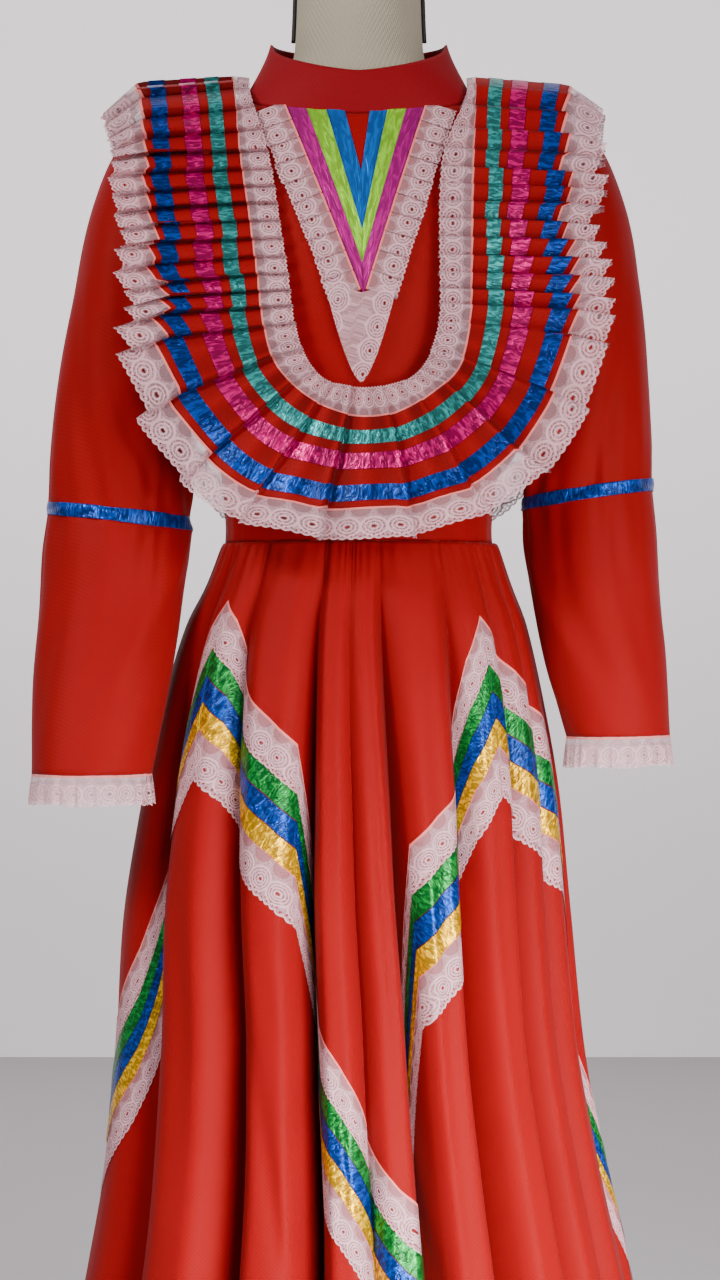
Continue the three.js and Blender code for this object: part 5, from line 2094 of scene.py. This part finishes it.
@dataclass
class Studio:
    """The floor, the backdrop's light, the lamps and the camera."""

    camera_place: tuple[float, float, float] = (0.001, -2.7, 0.92)
    lens: float = 81.25
    floor_half: float = 6000.0
    floor_far: float = 3673.0
    floor_colour: tuple[float, ...] = (0.62, 0.60, 0.61, 1)
    wall_colour: tuple[float, ...] = (0.70, 0.66, 0.68, 1)
    # The colour of the wall's painted glow.
    glow_colour: tuple[float, ...] = (0.90, 0.82, 0.85, 1)
    world_colour: tuple[float, ...] = (0.82, 0.77, 0.79, 1)
    world_strength: float = 0.22

    def sheet(self, name: str, colour: tuple[float, ...], roughness: float, upright: bool) -> Nodes:
        """A plain square sheet of the studio.

        Args:
            name: the object's and the material's name.
            colour: its colour.
            roughness: its roughness.
            upright: whether it stands behind the floor.

        Returns:
            Its material's nodes.
        """
        bm = bmesh.new()
        bmesh.ops.create_grid(bm, x_segments=1, y_segments=1, size=self.floor_half)
        if upright:
            bmesh.ops.rotate(bm, matrix=Matrix.Rotation(math.radians(90), 3, "X"), verts=bm.verts)
            place = (0, self.floor_far, self.floor_half)
        else:
            place = (0, self.floor_far - self.floor_half, 0)
        bmesh.ops.translate(bm, vec=place, verts=bm.verts)
        obj = solid_mesh(name, bm)
        material = bpy.data.materials.new(name)
        material.use_nodes = True
        shader = material.node_tree.nodes["Principled BSDF"]
        shader.inputs["Base Color"].default_value = colour
        shader.inputs["Roughness"].default_value = roughness
        obj.data.materials.append(material)
        return Nodes(material.node_tree)

    def wall(self) -> None:
        """Stands a plain wall behind the floor that glows as painted light, brighter toward the top, and is
        clear from behind.
        """
        n = self.sheet("studio_wall", self.wall_colour, 0.9, True)
        shader = n.tree.nodes["Principled BSDF"]
        split = n.add("ShaderNodeSeparateXYZ")
        n.join(n.add("ShaderNodeTexCoord").outputs["Object"], split.inputs[0])
        # Painted light: the wall glows on top of the lamps' light, more with height.
        glow = n.plus(n.times(n.ramp(split.outputs[2], 0.1, 1.9), 0.75), 0.45)
        n.join(glow, shader.inputs["Emission Strength"])
        shader.inputs["Emission Color"].default_value = self.glow_colour
        behind = n.add("ShaderNodeMixShader")
        n.join(n.add("ShaderNodeNewGeometry").outputs["Backfacing"], behind.inputs[0])
        n.join(shader.outputs[0], behind.inputs[1])
        n.join(n.add("ShaderNodeBsdfTransparent").outputs[0], behind.inputs[2])
        n.join(behind.outputs[0], n.tree.nodes["Material Output"].inputs["Surface"])

    def build(self) -> None:
        """Builds the floor, the light and the camera."""
        self.sheet("studio_floor", self.floor_colour, 0.6, False)
        self.wall()
        world = bpy.data.worlds.new("studio")
        bpy.context.scene.world = world
        world.use_nodes = True
        sky = world.node_tree.nodes["Background"]
        sky.inputs["Color"].default_value = self.world_colour
        sky.inputs["Strength"].default_value = self.world_strength
        for lamp in LAMPS:
            lamp.build()
        camera = bpy.data.cameras.new("camera")
        camera.lens = self.lens
        eye = bpy.data.objects.new("camera", camera)
        bpy.context.scene.collection.objects.link(eye)
        eye.location = self.camera_place
        eye.rotation_euler = (math.radians(90), 0, 0)
        bpy.context.scene.camera = eye


def main() -> None:
    """Builds the dress on its form, then the studio."""
    logging.basicConfig(level=logging.INFO)
    steps: tuple[Callable[[], None], ...] = (
        DressForm().build,
        Bodice().build,
        Sleeve(-1, "left", SLEEVE_LEFT).build,
        Sleeve(1, "right", SLEEVE_RIGHT).build,
        Skirt().build,
        Bib().build,
        Yoke().build,
        Studio().build,
    )
    for step in steps:
        step()


if __name__ == "__main__":
    main()
